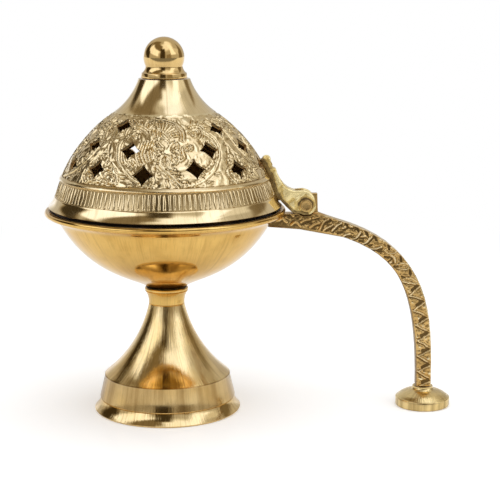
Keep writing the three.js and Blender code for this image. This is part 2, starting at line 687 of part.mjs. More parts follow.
// Turned foot under the handle
function makeHandleFoot() {
  const rimTop = at(FOOT_R - FOOT_EDGE / 2, FOOT_RIM_H + FOOT_EDGE / 2);
  const neckFoot = at(FOOT_NECK_R + FOOT_EDGE, FOOT_DOME_H);
  return turned(
    [
      at(FOOT_RECESS_R, 0),
      at(FOOT_R - FOOT_EDGE, 0),
      at(FOOT_R, FOOT_EDGE),
      at(FOOT_R, FOOT_RIM_H),
      rimTop,
      ...bow(rimTop, neckFoot, FOOT_DOME_BULGE, 3),
      ...bow(neckFoot, at(FOOT_NECK_R, FOOT_H), -FOOT_EDGE / 4, 2),
      at(footBore, FOOT_H),
      at(footBore, FOOT_RECESS_H),
      at(FOOT_RECESS_R, FOOT_RECESS_H),
    ],
    MIDDLE_SIDES
  );
}

// Bolt, washer and nut that hold the bowl to the pedestal
const washerZ = coreZ - FIT_GAP - BOLT_WASHER_T;
const nutZ = washerZ - FIT_GAP - NUT_H;

function nut() {
  const bore = barIn(new THREE.Matrix4(), boltBore, -NUT_H, 2 * NUT_H);
  return toSolid(bar(NUT_R, 0, NUT_H, 6)).subtract(bore);
}

// Colours: polished gold brass, paler chased brass, darker cast brass, and plain steel-like brass inside
const finishes = {
  polished: { color: 0xd9ad4e, roughness: 0.18 },
  chased: { color: 0xd8b878, roughness: 0.42 },
  cast: { color: 0xa88a4c, roughness: 0.45 },
  fastener: { color: 0xbf9a4d, roughness: 0.38 },
};

const censer = new THREE.Group();
censer.position.x = -middleX;

function addPiece(name, solid, finish, place = new THREE.Matrix4()) {
  const material = new THREE.MeshStandardMaterial({ metalness: 1, ...finishes[finish] });
  const mesh = new THREE.Mesh(toGeometry(solid), material);
  mesh.name = name;
  mesh.applyMatrix4(place);
  censer.add(mesh);
}

const moved = (x, y, z) => new THREE.Matrix4().makeTranslation(x, y, z);
const upsideDown = new THREE.Matrix4().makeRotationX(Math.PI);
const alongY = new THREE.Matrix4().makeRotationX(Math.PI / 2);

addPiece("pedestal", makePedestal(), "polished");
addPiece("bowl", makeBowl(), "polished");
const boltLength = floorZ + FIT_GAP - nutZ + BOLT_END;
const bolt = screw(BOLT_R, boltLength, BOLT_HEAD_R, BOLT_HEAD_H);
addPiece("bowl_bolt", bolt, "fastener", moved(0, 0, floorZ + FIT_GAP));
const boltWasher = ring(boltBore, BOLT_WASHER_R, washerZ, washerZ + BOLT_WASHER_T);
addPiece("bowl_bolt_washer", boltWasher, "fastener");
addPiece("bowl_bolt_nut", nut(), "fastener", moved(0, 0, nutZ));
addPiece("handle", makeHandle(), "cast");
handleScrewFrames.forEach((frame, i) => {
  const head = BOWL_WALL + FIT_GAP;
  const place = frame.clone().multiply(moved(0, 0, -head)).multiply(upsideDown);
  const length = head + FIT_GAP + HANDLE_SCREW_GRIP;
  const body = screw(HANDLE_SCREW_R, length, HANDLE_SCREW_HEAD_R, HANDLE_SCREW_HEAD_H);
  addPiece(`handle_screw_${i + 1}`, body, "fastener", place);
});
addPiece("handle_foot", makeHandleFoot(), "polished", moved(footX, 0, 0));
const footScrewSeat = FOOT_RECESS_H - FIT_GAP;
const footScrewLength = footTop.y + FOOT_SCREW_GRIP - footScrewSeat;
addPiece(
  "handle_foot_screw",
  screw(FOOT_SCREW_R, footScrewLength, FOOT_SCREW_HEAD_R, FOOT_SCREW_HEAD_H),
  "fastener",
  moved(footX, 0, footScrewSeat).multiply(upsideDown)
);
addPiece("hinge_pin", makeHingePin(), "cast", moved(pinX, 0, pinZ).multiply(alongY));
addPiece("lid_dome", makeLid(), "chased");
addPiece("finial", makeFinial(), "polished");
const finialWasherZ = lidCeilingZ - FIT_GAP - FINIAL_WASHER_T;
addPiece(
  "finial_washer",
  ring(finialBore, FINIAL_WASHER_R, finialWasherZ, finialWasherZ + FINIAL_WASHER_T),
  "fastener"
);
const finialScrewSeat = finialWasherZ - FIT_GAP;
const finialScrewLength = collarZ + FINIAL_BORE_H - FIT_GAP - finialScrewSeat;
addPiece(
  "finial_screw",
  screw(FINIAL_SCREW_R, finialScrewLength, FINIAL_SCREW_HEAD_R, FINIAL_SCREW_HEAD_H),
  "fastener",
  moved(0, 0, finialScrewSeat).multiply(upsideDown)
);
addPiece("lid_strap", makeStrap(), "cast");
rivetFrames.forEach((frame, i) => addPiece(`lid_strap_rivet_${i + 1}`, makeRivet(), "fastener", frame));

export default censer;
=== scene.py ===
"""A brass table censer: turned pedestal and bowl, pierced and chased lid, cast handle and strap.

Design sizes are millimetres, from the bowl's axis and the table. Meshes are metres in the part's frame.
"""

import json
import logging
import math
from abc import ABC, abstractmethod
from collections.abc import Callable, Iterable, Sequence
from dataclasses import dataclass, field
from enum import Enum
from functools import partialmethod
from typing import ClassVar

import bmesh
import bpy
import numpy as np
from mathutils import Matrix, Vector
from mathutils.kdtree import KDTree


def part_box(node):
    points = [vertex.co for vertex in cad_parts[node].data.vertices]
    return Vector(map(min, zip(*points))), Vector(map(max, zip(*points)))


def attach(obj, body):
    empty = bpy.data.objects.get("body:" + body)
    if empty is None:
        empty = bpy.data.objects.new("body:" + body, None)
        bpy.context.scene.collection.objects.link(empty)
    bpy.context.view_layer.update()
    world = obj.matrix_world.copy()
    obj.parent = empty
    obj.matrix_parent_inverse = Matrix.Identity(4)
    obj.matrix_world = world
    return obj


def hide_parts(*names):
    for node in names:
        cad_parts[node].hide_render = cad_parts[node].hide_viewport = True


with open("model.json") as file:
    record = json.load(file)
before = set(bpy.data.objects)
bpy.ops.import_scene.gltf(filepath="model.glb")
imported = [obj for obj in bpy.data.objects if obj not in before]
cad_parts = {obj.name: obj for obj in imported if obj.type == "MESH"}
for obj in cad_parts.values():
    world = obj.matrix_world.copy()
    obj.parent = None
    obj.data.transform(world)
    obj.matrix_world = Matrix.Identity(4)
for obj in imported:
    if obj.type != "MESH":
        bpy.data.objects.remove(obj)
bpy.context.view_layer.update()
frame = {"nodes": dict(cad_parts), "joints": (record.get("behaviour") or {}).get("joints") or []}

logging.basicConfig(level=logging.INFO, format="%(message)s")
LOG = logging.getLogger("censer")

MM = 0.001
FULL_TURN = 2 * math.pi

Line = np.ndarray
Reach = float | np.ndarray
Skin = Callable[[np.ndarray, np.ndarray], tuple[np.ndarray, np.ndarray]]


class Slot(Enum):
    """Material slots of the record."""

    POLISHED = "polished_brass"
    CHASED = "chased_brass"
    CAST = "cast_brass"
    FASTENER = "fastener_brass"


class Body(Enum):
    """Bodies that pieces ride on."""

    BURNER = "burner"
    LID = "lid"


def point(out: float, up: float) -> Line:
    """A point of an outline: distance from the axis, or along a piece, and height."""
    return np.array([out, up], float)


def on_circle(centre: Line, radius: float, turn: float) -> Line:
    """A point of a circle at a turn in degrees."""
    angle = math.radians(turn)
    return centre + radius * np.array([math.cos(angle), math.sin(angle)])


def arc(centre: Line, radius: float, start: float, end: float, steps: int) -> Line:
    """Points of an arc between two turns in degrees, both ends included."""
    return np.array([on_circle(centre, radius, t) for t in np.linspace(start, end, steps + 1)])


def bow(start: Line, end: Line, rise: float, steps: int) -> Line:
    """Points of an arc that stands off its chord, to the right of travel.

    Args:
        start: First end, which is left out.
        end: Second end, which is the last point.
        rise: How far the middle stands off the chord; negative bends the other way.
        steps: Number of points.

    Returns:
        The points, one row each.
    """
    chord = end - start
    length = float(np.hypot(*chord))
    side = np.array([chord[1], -chord[0]]) / length
    radius = ((length / 2) ** 2 + rise**2) / (2 * rise)
    centre = (start + end) / 2 + side * (rise - radius)
    step = 2 * math.asin(length / 2 / radius) / steps
    turns = step * np.arange(1, steps + 1)
    away = start - centre
    cos, sin = np.cos(turns), np.sin(turns)
    return centre + np.stack([away[0] * cos - away[1] * sin, away[0] * sin + away[1] * cos], 1)


def bezier(a: Line, b: Line, c: Line, d: Line, steps: int) -> Line:
    """Points of a cubic curve, both ends included.

    Args:
        a: First end.
        b: Where the curve heads from there.
        c: Where it comes from at the other end.
        d: Other end.
        steps: Number of stretches.

    Returns:
        The points, one row each.
    """
    t = np.linspace(0, 1, steps + 1)[:, None]
    u = 1 - t
    return u**3 * a + 3 * u * u * t * b + 3 * u * t * t * c + t**3 * d


def path(*parts: Line | tuple[float, float]) -> Line:
    """Points and stretches of points joined into one line."""
    return np.concatenate([np.atleast_2d(part) for part in parts])


def offset(line: Line, distance: float) -> Line:
    """A line moved to the left of its travel, with mitred corners.

    Args:
        line: The line.
        distance: How far it is moved.

    Returns:
        The moved line.
    """
    runs = np.diff(line, axis=0)
    runs /= np.hypot(runs[:, 0], runs[:, 1])[:, None]
    normals = np.stack([-runs[:, 1], runs[:, 0]], 1)
    before = np.concatenate([normals[:1], normals])
    after = np.concatenate([normals, normals[-1:]])
    mitre = before + after
    mitre /= np.hypot(mitre[:, 0], mitre[:, 1])[:, None]
    return line + mitre * (distance / np.sum(mitre * after, axis=1))[:, None]


def refine(line: Line, step: float) -> Line:
    """The same line with extra points, so that no stretch is longer than step.

    Args:
        line: The line.
        step: The longest stretch allowed.

    Returns:
        The refined line.
    """
    parts = [line[:1]]
    for a, b in zip(line[:-1], line[1:]):
        count = max(1, math.ceil(float(np.hypot(*(b - a))) / step))
        parts.append(a + (b - a) * (np.arange(1, count + 1) / count)[:, None])
    return np.concatenate(parts)


def linked(name: str, data: bpy.types.ID) -> bpy.types.Object:
    """An object for a mesh, lamp or camera, at the origin and in the scene.

    Args:
        name: The object's name.
        data: What it shows.

    Returns:
        The object.
    """
    obj = bpy.data.objects.new(name, data)
    bpy.context.scene.collection.objects.link(obj)
    return obj


def mesh_object(name: str, vertices: np.ndarray, faces: Iterable[Sequence[int]]) -> bpy.types.Object:
    """A linked mesh object at the origin, from vertices in millimetres.

    Args:
        name: The piece's name.
        vertices: One row for each vertex, in the part's frame.
        faces: Vertex numbers of each face.

    Returns:
        The object, with its faces pointing out.
    """
    mesh = bpy.data.meshes.new(name)
    mesh.from_pydata((vertices * MM).tolist(), [], [list(map(int, face)) for face in faces])
    mesh.validate()
    obj = linked(name, mesh)
    face_out(obj)
    return obj


def face_out(obj: bpy.types.Object) -> None:
    """Turns a closed mesh's faces outwards.

    Args:
        obj: The closed mesh object.
    """
    work = bmesh.new()
    work.from_mesh(obj.data)
    bmesh.ops.recalc_face_normals(work, faces=work.faces)
    if work.calc_volume(signed=True) < 0:
        bmesh.ops.reverse_faces(work, faces=work.faces)
    work.to_mesh(obj.data)
    work.free()


def smooth(obj: bpy.types.Object, sharp_angle: float = 32.0) -> bpy.types.Object:
    """Shades a piece smooth, with sharp edges above an angle in degrees.

    Args:
        obj: The piece.
        sharp_angle: The angle.

    Returns:
        The same piece.
    """
    obj.data.shade_smooth()
    obj.data.set_sharp_from_angle(angle=math.radians(sharp_angle))
    return obj


def settled(obj: bpy.types.Object) -> bpy.types.Object:
    """Turns the evaluated object into its plain mesh and removes its modifiers.

    Args:
        obj: The object.

    Returns:
        The same object.
    """
    graph = bpy.context.evaluated_depsgraph_get()
    mesh = bpy.data.meshes.new_from_object(obj.evaluated_get(graph))
    obj.modifiers.clear()
    old = obj.data
    obj.data = mesh
    bpy.data.meshes.remove(old)
    return obj


def vertex_rows(mesh: bpy.types.Mesh, name: str) -> np.ndarray:
    """The vertices' places or normals, one row each.

    Args:
        mesh: The mesh.
        name: "co" for places in metres or "normal".

    Returns:
        One row for each vertex.
    """
    flat = np.empty(3 * len(mesh.vertices), np.float32)
    mesh.vertices.foreach_get(name, flat)
    return flat.reshape(-1, 3).astype(float)


def coordinates(mesh: bpy.types.Mesh) -> np.ndarray:
    """A mesh's vertices in millimetres, one row each."""
    return vertex_rows(mesh, "co") / MM


def from_axis(places: np.ndarray) -> np.ndarray:
    """How far places are from the bowl's axis."""
    return np.hypot(places[:, 0] - AXIS[0], places[:, 1] - AXIS[1])


def directions(line: Line) -> Line:
    """A line's direction at each of its points."""
    run = np.gradient(line, axis=0)
    return run / np.maximum(np.hypot(run[:, 0], run[:, 1]), 1e-9)[:, None]


def under_share(facing: np.ndarray) -> np.ndarray:
    """How far each normal points down and towards the bowl: the faces on which shade is painted."""
    return np.clip((-0.8 * facing[:, 0] - 0.6 * facing[:, 2] - 0.3) / 0.4, 0, 1)


def move_vertices(mesh: bpy.types.Mesh, places: np.ndarray) -> None:
    """Puts a mesh's vertices at places in millimetres."""
    mesh.vertices.foreach_set("co", (places * MM).astype(np.float32).ravel())
    mesh.update()


def paint(mesh: bpy.types.Mesh, name: str, values: np.ndarray) -> None:
    """Stores one number for each vertex under an attribute's name."""
    layer = mesh.attributes.get(name) or mesh.attributes.new(name, "FLOAT", "POINT")
    layer.data.foreach_set("value", values.astype(np.float32))


def ripple(places: np.ndarray, pitch: float, seed: int, waves: int = 16) -> np.ndarray:
    """Smooth random waves with values mostly between -2 and 2.

    Args:
        places: Points, one row each.
        pitch: Usual length of a wave.
        seed: Picks the waves.
        waves: How many waves are added up.

    Returns:
        One value for each point.
    """
    chance = np.random.default_rng(seed)
    ways = chance.normal(size=(waves, places.shape[1]))
    ways /= np.linalg.norm(ways, axis=1)[:, None]
    lengths = pitch * chance.uniform(0.75, 1.5, waves)
    phases = chance.uniform(0, FULL_TURN, waves)
    total = sum(np.sin(FULL_TURN * (places @ w) / l + f) for w, l, f in zip(ways, lengths, phases))
    return total / math.sqrt(waves / 2)


def stitched(rings: Sequence[np.ndarray]) -> tuple[np.ndarray, list[list[int]]]:
    """Faces of a closed shell between rings of points.

    Args:
        rings: Rings round the axis; the last joins the first. One may have a whole multiple of the points
            of the next.

    Returns:
        All points, and the vertex numbers of each face.
    """
    starts = np.cumsum([0] + [len(ring) for ring in rings]).tolist()
    faces: list[list[int]] = []
    for i, first in enumerate(rings):
        j = (i + 1) % len(rings)
        counts = (len(first), len(rings[j]))
        coarse = min(counts)
        fine = [count // coarse for count in counts]
        for k in range(coarse):
            low = [starts[i] + (k * fine[0] + m) % counts[0] for m in range(fine[0] + 1)]
            high = [starts[j] + (k * fine[1] + m) % counts[1] for m in range(fine[1] + 1)]
            faces.append(low + high[::-1])
    return np.concatenate(rings), faces


def node_middle(node: str) -> Line:
    """The middle of a CAD node in plan, in millimetres."""
    low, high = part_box(node)
    return np.array([(low.x + high.x) / 2, (low.y + high.y) / 2]) / MM


AXIS = node_middle("pedestal")
FOOT_AXIS = node_middle("handle_foot")
HINGE = Vector(next(j for j in frame["joints"] if j["name"] == "lid_hinge")["pos_m"])
PIN = point(HINGE.x / MM, HINGE.z / MM)


def around(out: Reach, up: Reach, turns: np.ndarray, axis: Line = AXIS) -> np.ndarray:
    """Points round an upright axis, one row for each turn in radians."""
    x, y = axis[0] + out * np.cos(turns), axis[1] + out * np.sin(turns)
    return np.column_stack([x, y, np.broadcast_to(up, turns.shape)])


def revolve(name: str, outline: Line, sides: int, axis: Line = AXIS) -> bpy.types.Object:
    """A piece turned about an upright axis.

    Args:
        name: The piece's name.
        outline: Points of its section, from the axis or as a loop, in millimetres.
        sides: Number of columns round it.
        axis: Where the axis stands, in plan.

    Returns:
        The closed, smoothly shaded object.
    """
    turns = FULL_TURN * np.arange(sides) / sides
    rings: list[np.ndarray] = []
    vertices: list[np.ndarray] = []
    count = 0
    for out, up in outline:
        if out < 1e-6:
            vertices.append(np.array([[axis[0], axis[1], up]]))
            rings.append(np.full(sides, count))
        else:
            vertices.append(around(out, up, turns, axis))
            rings.append(count + np.arange(sides))
        count += len(vertices[-1])
    if outline[0][0] > 1e-6:
        rings.append(rings[0])
    faces: list[list[int]] = []
    for a, b in zip(rings[:-1], rings[1:]):
        for corners in zip(a, np.roll(a, -1), np.roll(b, -1), b):
            face = list(dict.fromkeys(corners))
            if len(face) > 2:
                faces.append(face)
    return smooth(mesh_object(name, np.concatenate(vertices), faces))


class Socket:
    """A value in a node tree. Python operators on it add Math nodes."""

    def __init__(self, shader: "Shader", output: bpy.types.NodeSocket) -> None:
        """Wraps an output socket of a tree."""
        self.shader = shader
        self.output = output

    def _math(self, operation: str, *values: "Socket | float") -> "Socket":
        """A Math node on this value and others."""
        return self.shader.math(operation, self, *values)

    __add__ = __radd__ = partialmethod(_math, "ADD")
    __sub__ = partialmethod(_math, "SUBTRACT")
    __mul__ = __rmul__ = partialmethod(_math, "MULTIPLY")
    size = partialmethod(_math, "ABSOLUTE")

    def __rsub__(self, other: float) -> "Socket":
        """Difference from a number."""
        return self.shader.math("SUBTRACT", other, self)

    def step(self, low: float, high: float) -> "Socket":
        """Smooth step from 0 at low to 1 at high.

        Args:
            low: Where the step starts.
            high: Where it ends.

        Returns:
            A value between 0 and 1.
        """
        settings = {"interpolation_type": "SMOOTHSTEP"}
        values = {"Value": self, "From Min": low, "From Max": high}
        return self.shader.node("ShaderNodeMapRange", settings, values)["Result"]


class Added:
    """A node that was added to a tree. Its outputs are read by name or number."""

    def __init__(self, shader: "Shader", added: bpy.types.Node) -> None:
        """Wraps a node of a shader."""
        self.shader = shader
        self.added = added

    def __getitem__(self, key: str | int) -> Socket:
        """The output of that name or number."""
        return Socket(self.shader, self.added.outputs[key])


Value = Socket | float | tuple


class Shader:
    """A node tree under construction, of a material, the world or a geometry group."""

    def __init__(self, tree: bpy.types.NodeTree) -> None:
        """Empties the tree and starts from there."""
        self.tree = tree
        tree.nodes.clear()

    def node(self, kind: str, settings: dict | None = None, values: dict | None = None) -> Added:
        """Adds a node.

        Args:
            kind: The node's type.
            settings: Properties, which are set first.
            values: Numbers, colours or sockets for its inputs, by name or number.

        Returns:
            The added node.
        """
        added = self.tree.nodes.new(kind)
        for name, setting in (settings or {}).items():
            setattr(added, name, setting)
        for key, value in (values or {}).items():
            target = added.inputs[key]
            if isinstance(value, Socket):
                self.tree.links.new(value.output, target)
            else:
                target.default_value = (*value, 1.0) if target.type == "RGBA" else value
        return Added(self, added)

    def math(self, operation: str, *values: Socket | float) -> Socket:
        """A Math node on values and numbers."""
        return self.node("ShaderNodeMath", {"operation": operation}, dict(enumerate(values)))[0]

    def vector_math(self, operation: str, *values: Value) -> Added:
        """A Vector Math node."""
        return self.node("ShaderNodeVectorMath", {"operation": operation}, dict(enumerate(values)))

    def mix(self, share: Socket | float, a: Value, b: Value) -> Socket:
        """A colour between a and b."""
        return self.node("ShaderNodeMix", {"data_type": "RGBA"}, {0: share, 6: a, 7: b})[2]

    def combine(self, x: Socket | float, y: Socket | float, z: Socket | float) -> Socket:
        """A vector from three values."""
        return self.node("ShaderNodeCombineXYZ", {}, {0: x, 1: y, 2: z})[0]

    def noise(self, place: Socket, scale: float, detail: float = 3.0, rough: float = 0.55) -> Socket:
        """Noise between 0 and 1 at a place."""
        values = {"Vector": place, "Scale": scale, "Detail": detail, "Roughness": rough}
        return self.node("ShaderNodeTexNoise", {}, values)["Fac"]

    def cells(self, place: Socket, scale: float) -> Socket:
        """Distance to the nearest cell point."""
        return self.node("ShaderNodeTexVoronoi", {}, {"Vector": place, "Scale": scale})["Distance"]

    def split(self, vector: Socket) -> Added:
        """The three parts of a vector."""
        return self.node("ShaderNodeSeparateXYZ", {}, {0: vector})

    def place(self, space: str = "Object") -> Socket:
        """Coordinates in the object's own space, or another."""
        return self.node("ShaderNodeTexCoord")[space]

    def attribute(self, name: str) -> Socket:
        """A number that the mesh stores under a name."""
        return self.node("ShaderNodeAttribute", {"attribute_name": name})["Fac"]


Rgb = tuple[float, float, float]
WHITE = (1.0, 1.0, 1.0)
# Soot inside the bowl, also used as painted shade in the seams and on the lip under the lid.
SOOT_AND_GAP_SHADE = (0.03, 0.018, 0.008)


@dataclass(frozen=True)
class Brass:
    """One finish of brass.

    Attributes:
        name: The material's name.
        gold: Colour of clean metal.
        amber: Colour of the warmer patches.
        patina_and_shade: Colour of hollows and tarnish, and of painted shade and painted dark reflections.
        roughness: Roughness of clean metal.
        polished: Roughness where the polish attribute is 1.
        drawn: How far turning draws the highlights out along the profile, from 0 to 1.
        turning: Depth of the turning lines, in millimetres.
        turning_pitch: Distance between turning lines, in millimetres.
        grain: Depth of the fine grain, in millimetres.
        tarnish: Share of tarnish in the patches.
        relief: Whether the piece has a relief attribute, 0 in hollows and 1 on ridges; on the cast pieces it
            also carries painted shade and painted highlight.
        polish: Whether the piece has a polish attribute, 1 where it is smooth and bright.
        streaks: Depth of the polishing marks along the profile, in millimetres.
        bowl_reflection: Heights between which the metal turns to its warmer colour, a painted reflection of
            the amber bowl above, in millimetres.
        soot_and_gap_shade: Colour of the smoked inside, and painted shade in the seams and on the bowl's lip
            under the lid, where the soot_and_gap_shade attribute is 1.
        smoked: Share of patina in the blotches there.
        worn: Colour of the ridges that hands have polished, paler than clean metal: partly that polish,
            partly a painted highlight.
        dull_and_dark_reflection: Heights between which the metal is duller, and painted darker as a painted
            dark reflection, in millimetres.
        dark_reflection_shares: Shares of dark colour painted there as dark reflections, in the broad upright
            bands and everywhere.
        metallic: How metallic it is; less than 1 where a cast skin scatters light.
        axis: Where the turning axis stands in plan, in millimetres.
    """

    name: str
    gold: Rgb
    amber: Rgb
    patina_and_shade: Rgb
    roughness: float
    polished: float = 0.11
    drawn: float = 0.0
    turning: float = 0.0
    turning_pitch: float = 0.32
    grain: float = 0.0
    tarnish: float = 0.12
    relief: bool = False
    polish: bool = False
    streaks: float = 0.0
    bowl_reflection: tuple[float, float] | None = None
    soot_and_gap_shade: Rgb | None = None
    smoked: float = 0.35
    worn: Rgb | None = None
    dull_and_dark_reflection: tuple[float, float] | None = None
    dark_reflection_shares: tuple[float, float] = (0.45, 0.25)
    metallic: float = 1.0
    axis: tuple[float, float] = (0.0, 0.0)

    def _places(self, shader: Shader) -> tuple[Socket, Socket, Socket]:
        """Object coordinates, then distance from the axis with height, then direction with height.

        Args:
            shader: The material's tree.

        Returns:
            The three vectors.
        """
        place = shader.place()
        middle = (self.axis[0] * MM, self.axis[1] * MM, 0.0)
        centred = shader.vector_math("SUBTRACT", place, middle)[0]
        parts = shader.split(centred)
        flat = shader.combine(parts[0], parts[1], 0.0)
        away = shader.vector_math("LENGTH", flat)["Value"]
        way = shader.split(shader.vector_math("NORMALIZE", flat)[0])
        return place, shader.combine(away, 0.0, parts[2]), shader.combine(way[0], way[1], parts[2] * 2.0)

    def build(self) -> bpy.types.Material:
        """Makes the material.

        Returns:
            The material with its whole node tree.
        """
        material = bpy.data.materials.new(self.name)
        material.use_nodes = True
        shader = Shader(material.node_tree)
        place, profile, sector = self._places(shader)
        polish = shader.attribute("polish") if self.polish else 0.0
        rough_share = 1.0 - polish if self.polish else 1.0
        patches = shader.noise(place, 42.0, 4.0).step(0.42, 0.7)
        smudges = shader.noise(place, 150.0, 3.0).step(0.4, 0.78)
        layers = [(patches * 0.6, self.amber)]
        # Painted reflection: the bowl's amber painted onto the neck and collet under it.
        if self.bowl_reflection:
            height = shader.split(place)[2]
            layers.append((height.step(*(up * MM for up in self.bowl_reflection)), self.amber))
        layers.append((smudges * self.tarnish, self.patina_and_shade))
        roughness = patches * 0.03 + smudges * 0.06 + self.roughness
        if self.polish:
            roughness = roughness - polish * (self.roughness - self.polished)
        depth: Socket | float = 0.0
        if self.turning:
            lines = shader.noise(profile, 1 / (self.turning_pitch * MM), 2.0, 0.7)
            broad = shader.noise(profile, 1 / (5 * self.turning_pitch * MM), 2.0, 0.6)
            worn = shader.noise(place, 90.0, 2.0).step(0.3, 0.8) * 0.6 + 0.4
            smooth_share = polish * worn if self.polish else worn
            depth = (lines + broad * 2.0) * smooth_share * (self.turning * MM)
            roughness = roughness + lines * 0.05
            layers.append((lines.step(0.55, 0.85) * smooth_share * 0.2, self.patina_and_shade))
        if self.streaks:
            share = polish if self.polish else 1.0
            marks = shader.noise(sector, 17.0, 4.0, 0.66)
            fine = shader.noise(sector, 80.0, 2.0, 0.6)
            depth = depth + (marks * 3.0 + fine) * share * (self.streaks * MM)
            layers.append((marks.step(0.5, 0.72) * share * 0.34, self.patina_and_shade))
            layers.append((fine.step(0.5, 0.75) * share * 0.26, self.patina_and_shade))
        if self.grain:
            pits = shader.cells(place, 2100.0) * 0.5 + shader.noise(place, 1500.0, 3.0) * 0.5
            coarse = shader.noise(place, 620.0, 3.0)
            depth = depth + (pits * 0.6 + coarse * 0.8) * (self.grain * MM) * rough_share
            layers.append((coarse.step(0.38, 0.62) * 0.3 * rough_share, self.amber))
            layers.append((pits.step(0.2, 0.55) * 0.22 * rough_share, self.patina_and_shade))
        # Hollows darken; on the cast pieces low relief is also painted shade.
        if self.relief:
            ridge = shader.attribute("relief")
            mottle = shader.noise(place, 760.0, 3.0) * 0.2
            hollow = 1.0 - (ridge + mottle).step(0.12, 0.5)
            layers.append((hollow * 0.85, self.patina_and_shade))
            roughness = roughness + hollow * 0.15
            # Ridges take the worn colour: partly polish from wear, partly a painted highlight.
            if self.worn:
                bright = (ridge + mottle * 0.5).step(0.82, 1.0) * rough_share
                layers.append((bright * 0.85, self.worn))
                roughness = roughness - bright * 0.05
        # Painted dark reflections: upright bands and an even share of dark colour between these heights, over
        # a slightly rougher finish.
        if self.dull_and_dark_reflection:
            height = shader.split(place)[2]
            low, high = (up * MM for up in self.dull_and_dark_reflection)
            dull_and_dark_reflection = height.step(low - 0.2 * MM, low) * (1.0 - height.step(high, high + 0.2 * MM))
            bands = shader.noise(sector, 5.0, 3.0, 0.6).step(0.35, 0.65)
            banded, even = self.dark_reflection_shares
            layers.append((dull_and_dark_reflection * (bands * banded + even), self.patina_and_shade))
            roughness = roughness + dull_and_dark_reflection * 0.04
        metal: Socket | float = self.metallic
        # Soot inside; in the seams and on the bowl's lip this colour is painted shade.
        if self.soot_and_gap_shade:
            soot_and_shade_share = shader.attribute("soot_and_gap_shade")
            blotches = shader.noise(place, 55.0, 4.0, 0.65).step(0.48, 0.72)
            layers.append((soot_and_shade_share, shader.mix(blotches * self.smoked, self.soot_and_gap_shade, self.patina_and_shade)))
            roughness = roughness + soot_and_shade_share * 0.35
            metal = self.metallic - soot_and_shade_share * 0.7
        colour: Value = self.gold
        for share, over in layers:
            colour = shader.mix(share, colour, over)
        values = {
            "Metallic": metal,
            "Base Color": colour,
            "Roughness": roughness,
            "Anisotropic": self.drawn,
            "Anisotropic Rotation": 0.25 if self.drawn else 0.0,
        }
        if isinstance(depth, Socket):
            bump = shader.node("ShaderNodeBump", {}, {"Height": depth, "Strength": 1.0, "Distance": 1.0})
            values["Normal"] = bump["Normal"]
        surface = shader.node("ShaderNodeBsdfPrincipled", {}, values)
        shader.node("ShaderNodeOutputMaterial", {}, {"Surface": surface["BSDF"]})
        return material


@dataclass
class Workshop:
    """Dresses pieces and gives them to the frame.

    Attributes:
        finishes: Materials by name, made once each.
    """

    finishes: dict[str, bpy.types.Material] = field(default_factory=dict)

    def material(self, finish: Brass) -> bpy.types.Material:
        """The material of a finish, made at its first use.

        Args:
            finish: The finish.

        Returns:
            Its material.
        """
        if finish.name not in self.finishes:
            self.finishes[finish.name] = finish.build()
        return self.finishes[finish.name]

    def hand_over(self, obj: bpy.types.Object, finish: Brass, body: Body, slot: Slot, *nodes: str) -> None:
        """Puts a finish on a piece, and lets it ride on a body and stand for CAD nodes.

        Args:
            obj: The piece.
            finish: Its finish.
            body: The body that it rides on.
            slot: The record's material slot; not used.
            nodes: CAD nodes that it replaces.
        """
        obj.data.materials.clear()
        obj.data.materials.append(self.material(finish))
        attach(obj, body.value)
        if nodes:
            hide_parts(*nodes)
        LOG.info("%s: %d faces on %s", obj.name, len(obj.data.polygons), body.value)

    def finish_node(self, node: str, finish: Brass) -> None:
        """Puts a finish on a CAD node that stays.

        Args:
            node: The CAD node.
            finish: The finish.
        """
        obj = frame["nodes"][node]
        material = self.material(finish)
        if not obj.data.materials:
            obj.data.materials.append(material)
        for place in obj.material_slots:
            place.material = material
        LOG.info("%s: CAD node in %s", node, finish.name)


PEDESTAL_BRASS = Brass(
    "pedestal_brass", gold=(0.87, 0.65, 0.31), amber=(0.80, 0.51, 0.15), patina_and_shade=(0.30, 0.17, 0.05),
    # the neck's warmer colour is a painted reflection of the bowl
    roughness=0.04, drawn=0.22, turning=0.0015, tarnish=0.22, streaks=0.022, bowl_reflection=(44.6, 46.2),
    # the drum's dark upright bands are painted dark reflections
    # the seam colour is painted shade under the bowl
    dull_and_dark_reflection=(5.7, 15.4), soot_and_gap_shade=SOOT_AND_GAP_SHADE, axis=tuple(AXIS),
)
BOWL_BRASS = Brass(
    "bowl_brass", gold=(0.84, 0.54, 0.16), amber=(0.76, 0.44, 0.10), patina_and_shade=(0.42, 0.22, 0.05),
    # the soot colour is soot inside the bowl, and painted shade on the lip and in the seam
    roughness=0.045, turning=0.0012, tarnish=0.22, streaks=0.003, soot_and_gap_shade=SOOT_AND_GAP_SHADE, axis=tuple(AXIS),
)
FINIAL_BRASS = Brass(
    "finial_brass", gold=(0.86, 0.62, 0.28), amber=(0.80, 0.53, 0.19), patina_and_shade=(0.34, 0.19, 0.05),
    roughness=0.045, turning=0.0012, tarnish=0.3, streaks=0.002, axis=tuple(AXIS),
)
FOOT_BRASS = Brass(
    "foot_brass", gold=(1.0, 0.79, 0.40), amber=(0.88, 0.62, 0.22), patina_and_shade=(0.20, 0.115, 0.03),
    # the dark upright bands on the rim's side are painted dark reflections
    roughness=0.04, turning=0.004, tarnish=0.35, streaks=0.03, dull_and_dark_reflection=(-1.0, 3.5), dark_reflection_shares=(0.5, 0.0),
    axis=tuple(FOOT_AXIS),
)
